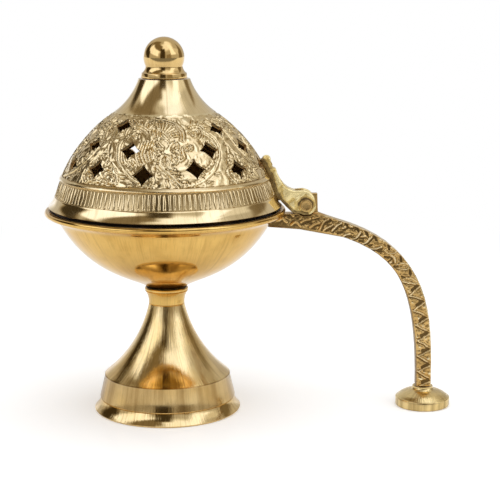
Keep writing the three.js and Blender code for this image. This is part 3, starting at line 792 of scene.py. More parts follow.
CHASED = Brass(
    "chased_brass", gold=(0.94, 0.74, 0.41), amber=(0.89, 0.66, 0.31), patina_and_shade=(0.31, 0.20, 0.065),
    roughness=0.17, polished=0.07, turning=0.0018, grain=0.012, tarnish=0.12, relief=True, polish=True,
    # the worn colour is partly polish from wear, partly a painted highlight on the ridges
    streaks=0.004, soot_and_gap_shade=(0.60, 0.33, 0.09), smoked=0.95, worn=(0.97, 0.80, 0.46), axis=tuple(AXIS),
)
FASTENER = Brass(
    "fastener_brass", gold=(0.72, 0.55, 0.27), amber=(0.62, 0.45, 0.2), patina_and_shade=(0.22, 0.15, 0.07),
    roughness=0.32, grain=0.01, tarnish=0.3,
)
CAST = Brass(
    "cast_brass", gold=(0.90, 0.60, 0.23), amber=(0.80, 0.49, 0.155), patina_and_shade=(0.09, 0.05, 0.015),
    # the worn colour is partly polish from wear, partly a painted highlight on the ridges
    roughness=0.27, grain=0.03, tarnish=0.3, relief=True, worn=(1.0, 0.84, 0.50),
)
STRAP_BRASS = Brass(
    "strap_brass", gold=(1.0, 0.76, 0.27), amber=(0.80, 0.50, 0.13), patina_and_shade=(0.09, 0.045, 0.012),
    # the worn colour is partly polish from wear, partly a painted highlight on the ridges
    roughness=0.24, grain=0.07, tarnish=0.3, relief=True, worn=(1.0, 0.84, 0.42), metallic=0.4,
)


class Turned(ABC):
    """A turned piece.

    Attributes:
        node: The CAD node that it stands for.
        sides: Number of columns round it.
        finish: Its finish.
        body: The body that it rides on.
        slot: The record's material slot.
        axis: Where its axis stands, in plan.
    """

    node: ClassVar[str]
    sides: ClassVar[int]
    finish: ClassVar[Brass]
    body: ClassVar[Body] = Body.BURNER
    slot: ClassVar[Slot] = Slot.POLISHED
    axis: ClassVar[Line] = AXIS

    @abstractmethod
    def outline(self) -> Line:
        """The section, from the axis or as a loop, in millimetres."""

    def mark(self, mesh: bpy.types.Mesh) -> None:
        """Moves the mesh where it belongs and paints what its finish reads; nothing by default."""

    def build(self, shop: Workshop) -> None:
        """Turns, marks and hands over the piece.

        Args:
            shop: The workshop.
        """
        piece = revolve(f"{self.node}_turned", self.outline(), self.sides, self.axis)
        self.mark(piece.data)
        shop.hand_over(piece, self.finish, self.body, self.slot, self.node)


@dataclass
class Pedestal(Turned):
    """The turned pedestal: flared base, grooved drum, trumpet and collet."""

    node = "pedestal"
    sides = 192
    finish = PEDESTAL_BRASS
    height: float = 52.4
    wall: float = 3.0
    base_r: float = 30.9
    base_h: float = 5.2
    base_edge: float = 0.8
    groove_r: float = 28.0
    groove_w: float = 0.5
    drum_foot_r: float = 28.6
    drum_top_r: float = 26.4
    drum_h: float = 9.6
    corner: float = 0.15
    waist_r: float = 7.5
    waist_drop: float = 7.0
    hollow: float = 3.0
    collet_r: float = 9.1
    collet_hollow: float = 0.45
    core_h: float = 19.4
    bore_r: float = 2.8
    edge: float = 0.3
    seam: float = 0.75
    cut: float = 0.32

    def outline(self) -> Line:
        """The section as a loop, from the base's lower edge.

        Returns:
            The points, one row each.
        """
        drum_z = self.base_h + self.groove_w
        drum_top = drum_z + self.drum_h
        foot = point(self.drum_top_r - self.edge, drum_top + self.edge)
        waist = point(self.waist_r, self.height - self.waist_drop)
        base_foot = point(self.base_r - self.base_edge, 0)
        base_top = point(self.groove_r + self.edge, self.base_h)
        trumpet = bow(foot, waist, -self.hollow, 40)
        collet_foot = waist + (0, 0.4)
        collet_top = point(self.collet_r - 0.12, self.height - 1.45)
        collet = bow(collet_foot, collet_top, -self.collet_hollow, 16)
        edge_mid = point(self.base_r, self.base_edge)
        skin = path((self.base_r, 0), (self.groove_r, self.base_h), (self.drum_top_r, drum_top), trumpet)
        core_z = self.height - self.core_h
        inside = offset(skin, self.wall)
        inside = inside[(inside[:, 1] >= 0) & (inside[:, 1] <= core_z)]
        return path(
            base_foot,
            bow(base_foot, edge_mid, self.base_edge * 0.2, 4),
            bow(edge_mid, base_top, -0.35, 8),
            bow(base_top, point(self.groove_r, self.base_h + self.groove_w / 2), -0.05, 2),
            (self.groove_r, drum_z - 0.1),
            (self.drum_foot_r - self.corner, drum_z),
            (self.drum_foot_r, drum_z + self.corner),
            (self.drum_top_r + 0.06, drum_top - 0.45),
            (self.drum_top_r + 0.16, drum_top - self.corner),
            trumpet,
            waist + (-self.cut, 0.2),
            collet_foot,
            collet,
            collet_top + (-self.cut, 0.2),
            (self.collet_r - 0.04, self.height - 1.0),
            (self.collet_r, self.height - self.edge),
            (self.collet_r - self.edge, self.height),
            (self.collet_r - self.seam, self.height),
            (self.bore_r, self.height),
            (self.bore_r, core_z),
            inside[::-1],
            (self.base_r - self.wall - self.edge, 0),
        )

    def mark(self, mesh: bpy.types.Mesh) -> None:
        """Paints shade into the seam under the bowl.

        Args:
            mesh: The turned mesh.
        """
        places = coordinates(mesh)
        top = places[:, 2] > self.height - 0.1
        # Painted shade in the seam: the collet's top under the bowl's seat.
        paint(mesh, "soot_and_gap_shade", (top & (from_axis(places) < self.collet_r - self.seam + 0.1)).astype(float))


@dataclass
class Bowl(Turned):
    """The turned bowl with its flare and beaded rim."""

    node = "bowl"
    sides = 224
    finish = BOWL_BRASS
    seat_z: float = 52.7
    seat_r: float = 8.0
    wall: float = 1.6
    shoulder_r: float = 44.2
    shoulder_h: float = 28.6
    foot_slope: float = 40.3
    foot_pull: float = 7.8
    top_slope: float = 62.0
    top_pull: float = 25.6
    flare_w: float = 4.6
    flare_h: float = 2.7
    rim_r: float = 50.0
    rim_h: float = 1.9
    bead_r: float = 1.0
    lower_ring_r: float = 0.42
    bore_r: float = 2.8

    def outline(self) -> Line:
        """The section as a loop, from the seat's bore.

        Returns:
            The points, one row each.
        """
        seat = point(self.seat_r, self.seat_z)
        shoulder = point(self.shoulder_r, self.seat_z + self.shoulder_h)
        lower = on_circle(seat, self.foot_pull, self.foot_slope)
        upper = on_circle(shoulder, -self.top_pull, self.top_slope)
        side = bezier(seat, lower, upper, shoulder, 48)
        flare_top = shoulder + (self.flare_w, self.flare_h)
        rim_top = flare_top[1] + self.rim_h
        bead = point(self.rim_r - self.bead_r, rim_top - self.bead_r)
        skin = path((self.bore_r, self.seat_z), side, flare_top, (flare_top[0], rim_top))
        inside = offset(skin, self.wall)
        lip = point(inside[-1][0], rim_top)
        return path(
            (self.bore_r, self.seat_z),
            side,
            bow(shoulder, flare_top + (-0.5, -0.2), -0.25, 8),
            arc(flare_top + (-0.1, 0.05), self.lower_ring_r, -75, 50, 8),
            arc(bead, self.bead_r, -40, 90, 16),
            lip + (0.3, 0),
            lip - (0, 0.3),
            inside[:-1][::-1],
        )

    def mark(self, mesh: bpy.types.Mesh) -> None:
        """Blackens the inside with soot, and paints shade on the lip under the lid and in the seam over the
        pedestal.

        Args:
            mesh: The turned mesh.
        """
        rows = np.arange(len(mesh.vertices)) // self.sides
        seam = coordinates(mesh)[:, 2] < self.seat_z + 0.12
        # Soot inside; painted shade on the lip under the lid and in the seam.
        paint(mesh, "soot_and_gap_shade", ((rows > int(self.outline()[:, 1].argmax())) | seam).astype(float))


@dataclass(frozen=True)
class Stroke:
    """One line of an ornament.

    Attributes:
        line: Its points.
        width: Half its width.
        rise: Its height; a negative one is the depth of a groove.
    """

    line: Line
    width: float = 0.36
    rise: float = 1.0


@dataclass(frozen=True)
class Petal:
    """A raised pad with an edge and a vein.

    Attributes:
        root: The end at the flower's heart.
        turn: Direction in degrees.
        length: Length from root to tip.
        width: Half its width.
        rise: Height of its middle.
    """

    root: Line
    turn: float
    length: float
    width: float
    rise: float = 0.8

    def outline(self) -> Stroke:
        """The raised edge round the pad.

        Returns:
            The edge.
        """
        t = np.linspace(0, FULL_TURN, 25)
        along = self.length * (0.5 - 0.5 * np.cos(t))
        across = self.width * np.sin(t) * (0.7 + 0.3 * (1 - np.cos(t)))
        return Stroke(self._placed(along, across), 0.3, 1.0)

    def vein(self) -> Stroke:
        """The groove along the pad."""
        along = np.linspace(0.25, 0.75, 5) * self.length
        return Stroke(self._placed(along, 0 * along), 0.28, -0.8)

    def _placed(self, along: np.ndarray, across: np.ndarray) -> Line:
        """Points of the petal's own frame put in the pattern.

        Args:
            along: Distances from the root towards the tip.
            across: Distances to the left of that.

        Returns:
            The points, one row each.
        """
        angle = math.radians(self.turn)
        cos, sin = math.cos(angle), math.sin(angle)
        return self.root + np.stack([along * cos - across * sin, along * sin + across * cos], 1)

    def pad(self, places: np.ndarray) -> np.ndarray:
        """Height of the pad at places of the pattern.

        Args:
            places: Points of the pattern, one row each.

        Returns:
            Heights, 0 beside the pad.
        """
        angle = math.radians(self.turn)
        away = places - self.root
        along = away @ np.array([math.cos(angle), math.sin(angle)])
        across = away @ np.array([-math.sin(angle), math.cos(angle)])
        share = (2 * along / self.length - 1) ** 2 + (across / self.width) ** 2
        return self.rise * np.sqrt(np.clip(1 - share, 0, 1)) ** 0.7


@dataclass(frozen=True)
class Chasing:
    """Heights of an ornament: ridges, the grooves punched beside them, and cut lines.

    Attributes:
        strokes: The lines.
        petals: The pads.
        moat: Width of the groove beside a ridge.
        moat_depth: Its depth, from 0 to 1.
        swell: How many times wider every ridge is than its stroke says.
    """

    strokes: Sequence[Stroke]
    petals: Sequence[Petal] = ()
    moat: float = 0.44
    moat_depth: float = 1.0
    swell: float = 1.0

    def height(self, places: np.ndarray, ground: np.ndarray) -> np.ndarray:
        """The ornament's height at places of the pattern.

        Args:
            places: Points of the pattern, one row each.
            ground: Height of the ground at each.

        Returns:
            Heights from 0, the deepest, to 1.
        """
        ridge = np.zeros(len(places))
        groove = np.zeros(len(places))
        moat = np.zeros(len(places))
        for stroke in self.strokes:
            near, distance = self._near(places, stroke)
            if not len(near):
                continue
            width = stroke.width * (self.swell if stroke.rise > 0 else 1.0)
            profile = np.sqrt(np.clip(1 - (distance / width) ** 2, 0, 1))
            if stroke.rise < 0:
                groove[near] = np.maximum(groove[near], -stroke.rise * profile)
                continue
            ridge[near] = np.maximum(ridge[near], stroke.rise * (0.2 + 0.8 * profile) * (profile > 0))
            beside = np.clip(1.25 - (distance - width) / self.moat, 0, 1)
            moat[near] = np.maximum(moat[near], self.moat_depth * beside)
        pads = np.zeros(len(places))
        for petal in self.petals:
            pads = np.maximum(pads, petal.pad(places))
        level = np.maximum(ground * (1 - moat), pads * (1 - 0.5 * moat))
        return np.clip(np.maximum(level, ridge) - groove, 0, 1)

    def _near(self, places: np.ndarray, stroke: Stroke) -> tuple[np.ndarray, np.ndarray]:
        """Which places a stroke can reach, and their distance from it.

        Args:
            places: Points of the pattern, one row each.
            stroke: The stroke.

        Returns:
            Numbers of the places, and their distances.
        """
        reach = stroke.width * max(1.0, self.swell) + 1.3 * self.moat
        low = stroke.line.min(0) - reach
        high = stroke.line.max(0) + reach
        near = np.nonzero(np.all((places > low) & (places < high), axis=1))[0]
        a, b = stroke.line[:-1][None], stroke.line[1:][None]
        run = b - a
        length = np.maximum(np.sum(run * run, axis=2), 1e-9)
        local = places[near][:, None, :]
        share = np.clip(np.sum((local - a) * run, axis=2) / length, 0, 1)
        gap = local - a - share[..., None] * run
        return near, np.sqrt(np.sum(gap * gap, axis=2)).min(1, initial=1e9)


def ring(centre: Line, radius: float, start: float, end: float, stretch: float = 1.0) -> Line:
    """Points of an arc of an oval."""
    turns = np.radians(np.linspace(start, end, max(4, int(abs(end - start) / 9))))
    return np.asarray(centre) + np.stack([radius * np.cos(turns), radius * stretch * np.sin(turns)], 1)


def spiral(centre: Line, radius: float, start: float, sweep: float) -> Line:
    """Points of a spiral that winds in towards its centre.

    Args:
        centre: Its centre.
        radius: Distance of its outer end.
        start: Turn of that end in degrees.
        sweep: How far it winds, in degrees.

    Returns:
        The points, one row each.
    """
    share = np.linspace(0, 1, 24)
    turns = np.radians(start + sweep * share)
    reach = radius * (1 - 0.8 * share)
    return np.asarray(centre) + np.stack([reach * np.cos(turns), reach * np.sin(turns)], 1)


def curve(*points_on_it: tuple[float, float]) -> Line:
    """A smooth line through points.

    Args:
        points_on_it: The points; two make a straight line.

    Returns:
        The points, one row each.
    """
    knots = np.array(points_on_it, float)
    if len(knots) < 3:
        return knots
    ends = np.concatenate([2 * knots[:1] - knots[1:2], knots, 2 * knots[-1:] - knots[-2:-1]])
    t = np.linspace(0, 1, 7)[1:, None]
    parts = [knots[:1]]
    for a, b, c, d in zip(ends, ends[1:], ends[2:], ends[3:]):
        blend = 2 * b + (c - a) * t + (2 * a - 5 * b + 4 * c - d) * t**2 + (3 * b - a - 3 * c + d) * t**3
        parts.append(blend / 2)
    return np.concatenate(parts)


def beside(line: Line, distance: float) -> Line:
    """The line that runs beside another, to the left of its travel."""
    run = directions(line)
    return line + distance * np.stack([-run[:, 1], run[:, 0]], 1)


def engraved(rows: Iterable[Sequence], width: float, gap: float, groove: float, depth: float) -> list[Stroke]:
    """Ridges with a groove on their right.

    Args:
        rows: Points that each ridge goes through.
        width: Half the width of a ridge.
        gap: Distance from a ridge to its groove.
        groove: Half the width of a groove.
        depth: Depth of a groove.

    Returns:
        The ridges and grooves.
    """
    strokes = []
    for points_on_it in rows:
        line = curve(*points_on_it)
        strokes += [Stroke(line, width), Stroke(beside(line, -gap), groove, -depth)]
    return strokes


def rays(centre: Line, near: float, far: float, turns: np.ndarray, lean: float, pen: tuple) -> list[Stroke]:
    """Short lines that spread from a centre.

    Args:
        centre: Where they point to.
        near: Distance of their inner ends.
        far: Distance of their outer ends.
        turns: Directions of their inner ends in degrees.
        lean: How much further the outer ends are turned.
        pen: Half their width, and their height.

    Returns:
        The short lines.
    """
    ends = [(on_circle(centre, near, turn), on_circle(centre, far, turn + lean)) for turn in turns]
    return [Stroke(np.array(pair), *pen) for pair in ends]


def barbs(line: Line, length: float, lean: float, count: int, width: float = 0.36) -> list[Stroke]:
    """Short lines that leave a stem on one side.

    Args:
        line: The stem.
        length: Length of the longest.
        lean: Angle from the stem in degrees; negative to its right.
        count: How many.
        width: Half the width of each.

    Returns:
        The short lines.
    """
    run = np.gradient(line, axis=0)
    strokes = []
    for share in np.linspace(0.04, 0.96, count):
        i = int(share * (len(line) - 1))
        turn = math.degrees(math.atan2(run[i, 1], run[i, 0])) + lean
        reach = length * (0.65 + 0.35 * math.sin(math.pi * share))
        middle = on_circle(line[i], reach * 0.55, turn)
        tip = on_circle(line[i], reach, turn - lean * 0.18)
        strokes.append(Stroke(np.array([on_circle(line[i], 0.55, turn), middle, tip]), width, 0.9))
    return strokes


@dataclass
class DomeOrnament:
    """The chased flower pattern of a quarter of the dome.

    Places are millimetres: across from the quarter's middle, and up the dome's side.
    """

    heart: tuple[float, float] = (-1.0, 16.0)
    middle: tuple[float, float] = (0.2, 14.6)
    half: float = 21.6
    stretch: float = 0.68
    leaf_room: float = 1.25
    leaf_rise: float = 0.94

    def petals(self) -> list[Petal]:
        """The flower's petals, the bud over it and the leaves of the corners.

        Returns:
            The pads.
        """
        flower = (
            (126, 7.4, 2.8), (172, 5.8, 2.0), (-146, 6.2, 2.1), (-98, 7.2, 2.1),
            (-52, 6.4, 2.0), (-14, 6.0, 1.9), (38, 5.2, 1.8),
        )
        fans = (
            ((-4.4, 21.6), (94,), 6.2, 1.5),
            ((-22.4, 6.6), (150, 178, 206, 234, 262), 5.8, 1.15),
            ((24.6, 5.6), (28, -8, -44), 5.2, 1.0),
        )
        pads = [Petal(self.heart, *shape) for shape in flower]
        for root, turns, length, width in fans:
            pads += [Petal(root, turn, length, width) for turn in turns]
        return pads

    def strokes(self) -> list[Stroke]:
        """All lines of the quarter.

        Returns:
            The lines.
        """
        lines = self._border() + self._crown_arc() + self._stem() + self._side_leaves() + self._outside()
        lines += [
            Stroke(spiral((7.6, 17.2), 2.3, 200, -430), 0.32),
            Stroke(curve((5.6, 16.2), (5.9, 13.2), (3.9, 11.4), (1.6, 12.6)), 0.34),
            Stroke(ring(self.heart, 0.9, 0, 360), 0.3),
        ]
        for petal in self.petals():
            lines += [petal.outline(), petal.vein()]
        return lines

    def fill(self, lines: list[Stroke]) -> list[Petal]:
        """Leaves wherever the lines leave room.

        Args:
            lines: All lines of the quarter.

        Returns:
            The leaves.
        """
        taken = np.concatenate([refine(stroke.line, 0.5) for stroke in lines])
        chance = np.random.default_rng(17)
        leaves = []
        for up in np.arange(1.5, 32.5, 1.3):
            for out in np.arange(-33.0, 33.0, 1.5):
                spot = point(out, up) + chance.uniform(-0.3, 0.3, 2)
                room = float(np.hypot(*(taken - spot).T).min())
                if room < self.leaf_room:
                    continue
                turn = 70.0 * math.sin(out / 4.0) + 50.0 * math.sin(up / 3.0) + 90.0
                half = min(1.7 * room, 3.2)
                root = on_circle(spot, -half, turn)
                leaf = Petal(root, turn, 2 * half, min(0.8 * room, 1.6), self.leaf_rise)
                leaves.append(leaf)
                taken = np.concatenate([taken, refine(leaf.outline().line, 0.5)])
        return leaves

    def _border(self) -> list[Stroke]:
        """The double oval line round the flower, with its hatching outside.

        Returns:
            The lines.
        """
        lines = []
        for start, end in ((-72, 48), (132, 252)):
            for half, width, rise in ((self.half, 0.4, 1.0), (self.half - 1.15, 0.3, 0.85)):
                lines.append(Stroke(ring(self.middle, half, start, end, self.stretch), width, rise))
        for start, end, lean, count in ((-66, -22, -62, 10), (246, 204, 62, 9)):
            lines += barbs(ring(self.middle, self.half + 0.6, start, end, self.stretch), 3.4, lean, count)
        return lines

    def _crown_arc(self) -> list[Stroke]:
        """The double arc over the flower with its ray hatching.

        Returns:
            The lines.
        """
        centre = (-3.3, 23.2)
        arcs = ((9.4, -14, 116, 0.4, 1.0), (8.3, -14, 116, 0.3, 0.85), (3.3, -10, 80, 0.3, 0.85))
        lines = [Stroke(ring(centre, *oval), width, rise) for *oval, width, rise in arcs]
        return lines + rays(centre, 4.0, 7.3, np.linspace(-2, 86, 8), 4, (0.34, 0.95))

    def _stem(self) -> list[Stroke]:
        """The double stem under the flower with its cross hatching.

        Returns:
            The lines.
        """
        stem = curve((-4.0, 10.6), (-2.6, 8.2), (0.4, 4.6), (4.2, 0.8))
        lines = [Stroke(stem, 0.4), Stroke(beside(stem, -1.1), 0.34, 0.95)]
        lines += barbs(beside(stem, 1.0), 3.2, 58, 6, 0.34)
        lines += barbs(beside(stem, -2.0), 2.6, -50, 4)
        under = curve((7.2, 10.6), (10.4, 7.4), (14.4, 5.6), (18.0, 7.4), (19.9, 12.0))
        lines += [Stroke(under, 0.36), Stroke(beside(under, -1.0), 0.3, 0.85)]
        lines += barbs(beside(under, 0.8), 2.4, 60, 8)
        lines.append(Stroke(curve((-7.2, 3.4), (-9.8, 1.6), (-12.8, 1.8)), 0.34))
        return lines

    def _side_leaves(self) -> list[Stroke]:
        """Leaves between the flower and the border.

        Returns:
            The lines.
        """
        lines = []
        for i, out in enumerate((-11.9, -10.7, -9.5, -8.3, -7.1)):
            low, high = 10.2 + 0.5 * i, 19.6 + 0.4 * i
            leaf = curve((out + 0.4, low), (out - 0.5, (low + high) / 2), (out + 0.9, high))
            lines.append(Stroke(leaf, 0.32))
        for centre, radii, ends, scroll, near, fan, lean in (
            ((-12.6, 23.4), (5.6, 4.5), (20, 190), (2.6, 40, 420), 6.3, (30, 178, 8), 6),
            ((10.6, 24.0), (5.0, 3.9), (-60, 120), (2.5, 160, -400), 5.7, (-50, 100, 8), -6),
        ):
            lines += [Stroke(ring(centre, radius, *ends), 0.34, 0.95) for radius in radii]
            lines.append(Stroke(spiral(centre, *scroll), 0.32))
            lines += rays(centre, near, near + 1.9, np.linspace(*fan), lean, (0.3, 0.9))
        left = curve((-19.4, 9.0), (-16.2, 7.4), (-14.0, 10.0), (-15.6, 12.4))
        right = curve((13.6, 20.4), (17.6, 20.2), (20.2, 17.0))
        for stem, length, count in ((left, 2.0, 5), (right, 2.2, 6)):
            lines += [Stroke(stem, 0.34), *barbs(stem, length, 60, count)]
        return lines

    def _outside(self) -> list[Stroke]:
        """Long leaves between this quarter's border and the next.

        Returns:
            The lines.
        """
        lines = []
        for side in (-1, 1):
            for i in range(6):
                top = (side * (21.4 - 1.0 * i), 24.4 + 1.2 * i)
                mid = (side * (27.2 - 0.6 * i), 17.4 + 1.1 * i)
                low = (side * (30.6 - 0.3 * i), 9.6 + 1.5 * i)
                lines.append(Stroke(curve(top, mid, low), 0.32, 0.95))
            stem = curve((side * 25.6, 19.6), (side * 26.6, 14.6), (side * 25.2, 9.6))
            lines.append(Stroke(stem, 0.36))
            lines += barbs(stem, 2.6, side * 55, 7)
            low = curve((side * 33.4, 1.2), (side * 30.4, 2.0), (side * 28.6, 0.8))
            lines += [Stroke(low, 0.32), *barbs(low, 2.0, side * -60, 4)]
        return lines

    def height(self, places: np.ndarray, ground: np.ndarray) -> np.ndarray:
        """The pattern's height, from 0 to 1.

        Args:
            places: Points of the quarter, one row each.
            ground: Height of the ground at each.

        Returns:
            One height for each.
        """
        lines = self.strokes()
        leaves = self.fill(lines)
        return Chasing(lines, self.petals() + leaves, swell=1.2).height(places, ground)


@dataclass(frozen=True)
class Lozenge:
    """One pierced hole of a cluster.

    Attributes:
        rise: Its even height above the lid's edge.
        across: Its size from corner to corner.
        turn: Its even turn from the cluster's middle, in degrees.
        strays: How far it is off its even place in each cluster by turns: degrees round and millimetres up.
    """

    rise: float
    across: float
    turn: float
    strays: tuple[tuple[float, float], tuple[float, float]]


LOZENGES = (
    Lozenge(34.4, 8.5, 0.0, ((1.9, 0.9), (1.5, -0.8))),
    Lozenge(27.1, 8.8, -16.7, ((1.6, 0.4), (-0.6, -0.5))),
    Lozenge(27.1, 9.0, 16.7, ((1.6, -0.2), (1.2, -0.9))),
    Lozenge(18.9, 8.8, -28.6, ((0.6, 0.1), (-1.5, 1.0))),
    Lozenge(18.9, 9.0, 0.0, ((-1.4, 0.3), (-0.8, -0.3))),
    Lozenge(18.9, 9.2, 28.6, ((0.9, -0.9), (0.8, -1.2))),
)


@dataclass
class Lid:
    """The pierced and chased lid with its ribbed band."""

    edge_z: float = 87.2
    wall: float = 1.5
    edge_r: float = 48.3
    skirt_top_r: float = 45.75
    skirt_h: float = 4.6
    skirt_hollow: float = 0.35
    band_top_r: float = 43.35
    band_h: float = 6.6
    band_recess: float = 0.45
    ring_h: float = 1.9
    ring_out: float = 0.25
    dome_r: float = 42.6
    dome_top_r: float = 20.5
    dome_h: float = 25.9
    dome_bulge: float = 2.4
    cone_top_r: float = 10.6
    cone_h: float = 13.3
    cone_hollow: float = 1.25
    cap_t: float = 1.8
    bore_r: float = 2.3
    relief: float = 0.6
    columns: int = 760
    coarse: int = 4
    dome_rows: int = 96
    chased_to: float = 33.6
    clusters: int = 4
    pattern_turn: float = 49.75
    flower_turn: float = 4.75
    lozenge_hollow: float = 0.55
    cutter_reach: float = 3.2
    rib_count: int = 138

    def __post_init__(self) -> None:
        """Works out the heights that follow from the sizes."""
        self.band_z = self.edge_z + self.skirt_h
        self.ring_z = self.band_z + self.band_h
        self.dome_z = self.ring_z + self.ring_h
        self.cone_z = self.dome_z + self.dome_h
        self.top_z = self.cone_z + self.cone_h
        self.edge = point(self.edge_r, self.edge_z)
        self.skirt_top = point(self.skirt_top_r, self.band_z)
        self.band_top = point(self.band_top_r, self.ring_z)
        self.dome_foot = point(self.dome_r, self.dome_z)
        self.dome_top = point(self.dome_top_r, self.cone_z)
        self.cone_top = point(self.cone_top_r, self.top_z)

    def dome_line(self) -> Line:
        """The dome's side, from its foot to the cone."""
        return path(self.dome_foot, bow(self.dome_foot, self.dome_top, self.dome_bulge, self.dome_rows))

    def outside(self) -> tuple[Line, slice]:
        """The outer section upwards from the lid's edge, and which of its points are the dome's.

        Returns:
            The points, and the rows that are the dome's.
        """
        recess = point(self.band_recess, 0)
        edge_top = self.edge + (0, 0.25)
        ring_foot = self.band_top - recess
        ring_mid = self.band_top + (self.ring_out, 0.55)
        low = path(
            self.edge + (-0.25, 0),
            edge_top,
            bow(edge_top, self.skirt_top - (0, 0.1), -self.skirt_hollow, 8),
            self.skirt_top - (0.12, 0),
            self.skirt_top - recess,
            ring_foot - (0, 0.35),
            ring_foot + (0.05, 0),
            bow(ring_foot + (0.05, 0), ring_mid, 0.1, 4),
            bow(ring_mid, self.dome_foot + (0.25, -0.45), 0.12, 5),
            self.dome_foot + (-0.1, -0.1),
        )
        dome = self.dome_line()
        cone = bow(self.dome_top, self.cone_top, -self.cone_hollow, 22)
        return path(low, dome, cone), slice(len(low), len(low) + len(dome))

    def inside(self) -> Line:
        """The inner section, from the cap's bore down to the lid's edge.

        Returns:
            The points, one row each.
        """
        crown = path(
            self.edge,
            self.skirt_top,
            self.band_top,
            self.dome_foot,
            bow(self.dome_foot, self.dome_top, self.dome_bulge, 10),
            bow(self.dome_top, self.cone_top, -self.cone_hollow, 5),
        )
        ceiling = self.top_z - self.cap_t
        line = offset(crown, self.wall)
        line = line[(line[:, 1] > self.edge_z) & (line[:, 1] < ceiling)]
        low = point(self.edge_r - self.wall - 0.2, self.edge_z)
        top = path((self.bore_r, self.top_z), (self.bore_r, ceiling), (line[-1][0], ceiling))
        return path(top, line[::-1], low)

    def _relief_grid(self, dome: Line, turns: np.ndarray) -> np.ndarray:
        """Ornament height for each dome row and each column of the whole turn.

        Args:
            dome: The dome's side.
            turns: The columns' turns in radians.

        Returns:
            Heights from 0 to 1, one row for each point of the side.
        """
        runs = np.hypot(*np.diff(dome, axis=0).T)
        ups = np.concatenate([[0], np.cumsum(runs)])
        quarter = FULL_TURN / self.clusters
        middle = math.radians(self.flower_turn)
        local = (turns - middle + quarter / 2) % quarter - quarter / 2
        out = np.repeat(dome[:, 0][:, None], len(turns), 1)
        rise = np.repeat(dome[:, 1][:, None], len(turns), 1)
        solid = np.stack([(out * np.cos(turns)).ravel(), (out * np.sin(turns)).ravel(), rise.ravel()], 1)
        places = np.stack([(out * local).ravel(), np.repeat(ups, len(turns))], 1)
        places[:, 0] += 0.16 * ripple(solid, 7.0, 3)
        places[:, 1] += 0.16 * ripple(solid, 7.0, 4)
        worms = np.clip(np.abs(ripple(solid, 2.3, 5)) / 0.5, 0, 1)
        height = DomeOrnament().height(places, 0.5 + 0.14 * worms)
        height = np.clip(height + 0.03 * ripple(solid, 1.4, 6), 0, 1)
        top = self.chased_to + 0.35 * ripple(solid, 3.0, 8)
        plain = np.clip((places[:, 1] - top) / 0.5, 0, 1)
        return (height + (1 - height) * plain).reshape(out.shape)

    def shell(self) -> bpy.types.Object:
        """The closed shell with its relief, before piercing.

        Returns:
            The shell.
        """
        outer, dome_rows = self.outside()
        section = path(outer, self.inside())
        first = math.radians(self.flower_turn) - FULL_TURN / self.clusters / 2
        fine = first + FULL_TURN * np.arange(self.columns) / self.columns
        dome = outer[dome_rows]
        run = directions(dome)
        sink = self.relief * (1 - self._relief_grid(dome, fine))
        sink[0] = 0.0
        sink[-1] = 0.0
        rings = []
        for i, (out, up) in enumerate(section):
            k = i - dome_rows.start
            if 0 <= k < len(dome):
                rings.append(around(out - sink[k] * run[k, 1], up + sink[k] * run[k, 0], fine))
            else:
                rings.append(around(out, up, fine[:: self.coarse]))
        return mesh_object("lid_dome_chased", *stitched(rings))

    def _station(self, rise: float) -> tuple[Line, float]:
        """The outer point at a rise above the edge, and the wall's tilt from level there.

        Args:
            rise: Height above the lid's edge.

        Returns:
            The point, and the tilt in radians.
        """
        outer, _ = self.outside()
        up = self.edge_z + rise
        i = int(np.argmax(outer[:, 1] >= up))
        run = outer[i] - outer[i - 1]
        out = float(np.interp(up, outer[i - 1 : i + 1, 1], outer[i - 1 : i + 1, 0]))
        return point(out, up), math.atan2(run[1], -run[0])

    def _lozenge(self, across: float, frame_at: Matrix) -> tuple[np.ndarray, list[list[int]]]:
        """A cutter for one lozenge: a prism with hollow sides.

        Args:
            across: The hole's size from corner to corner.
            frame_at: Place and turn of its middle.

        Returns:
            The prism's vertices, and the vertex numbers of each face.
        """
        corner = across / 2
        corners = [point(corner, 0), point(0, corner), point(-corner, 0), point(0, -corner)]
        rim = []
        for a, b in zip(corners, corners[1:] + corners[:1]):
            rim += [a, *bow(a, b, -self.lozenge_hollow, 5)[:-1]]
        count = len(rim)
        low, high = ([frame_at @ Vector((*p, side * self.cutter_reach)) for p in rim] for side in (-1, 1))
        sides = [[i, (i + 1) % count, count + (i + 1) % count, count + i] for i in range(count)]
        caps = [list(range(count))[::-1], list(range(count, 2 * count))]
        return np.array(low + high), sides + caps

    def cutters(self) -> bpy.types.Object:
        """All lozenge cutters as one mesh.

        Returns:
            The cutters.
        """
        vertices: list[np.ndarray] = []
        faces: list[list[int]] = []
        for cluster in range(self.clusters):
            middle = self.pattern_turn + 360 / self.clusters * cluster
            for hole in LOZENGES:
                round_by, up_by = hole.strays[cluster % 2]
                spot, tilt = self._station(hole.rise + up_by)
                place = (
                    Matrix.Translation((AXIS[0], AXIS[1], 0))
                    @ Matrix.Rotation(math.radians(middle + hole.turn + round_by), 4, "Z")
                    @ Matrix.Translation((spot[0], 0, spot[1]))
                    @ Matrix.Rotation(tilt, 4, "Y")
                    @ Matrix.Rotation(math.pi, 4, "Z")
                )
                prism, prism_faces = self._lozenge(hole.across, place)
                base = sum(map(len, vertices))
                vertices.append(prism)
                faces += [[base + i for i in face] for face in prism_faces]
        return mesh_object("lozenge_cutters", np.concatenate(vertices), faces)

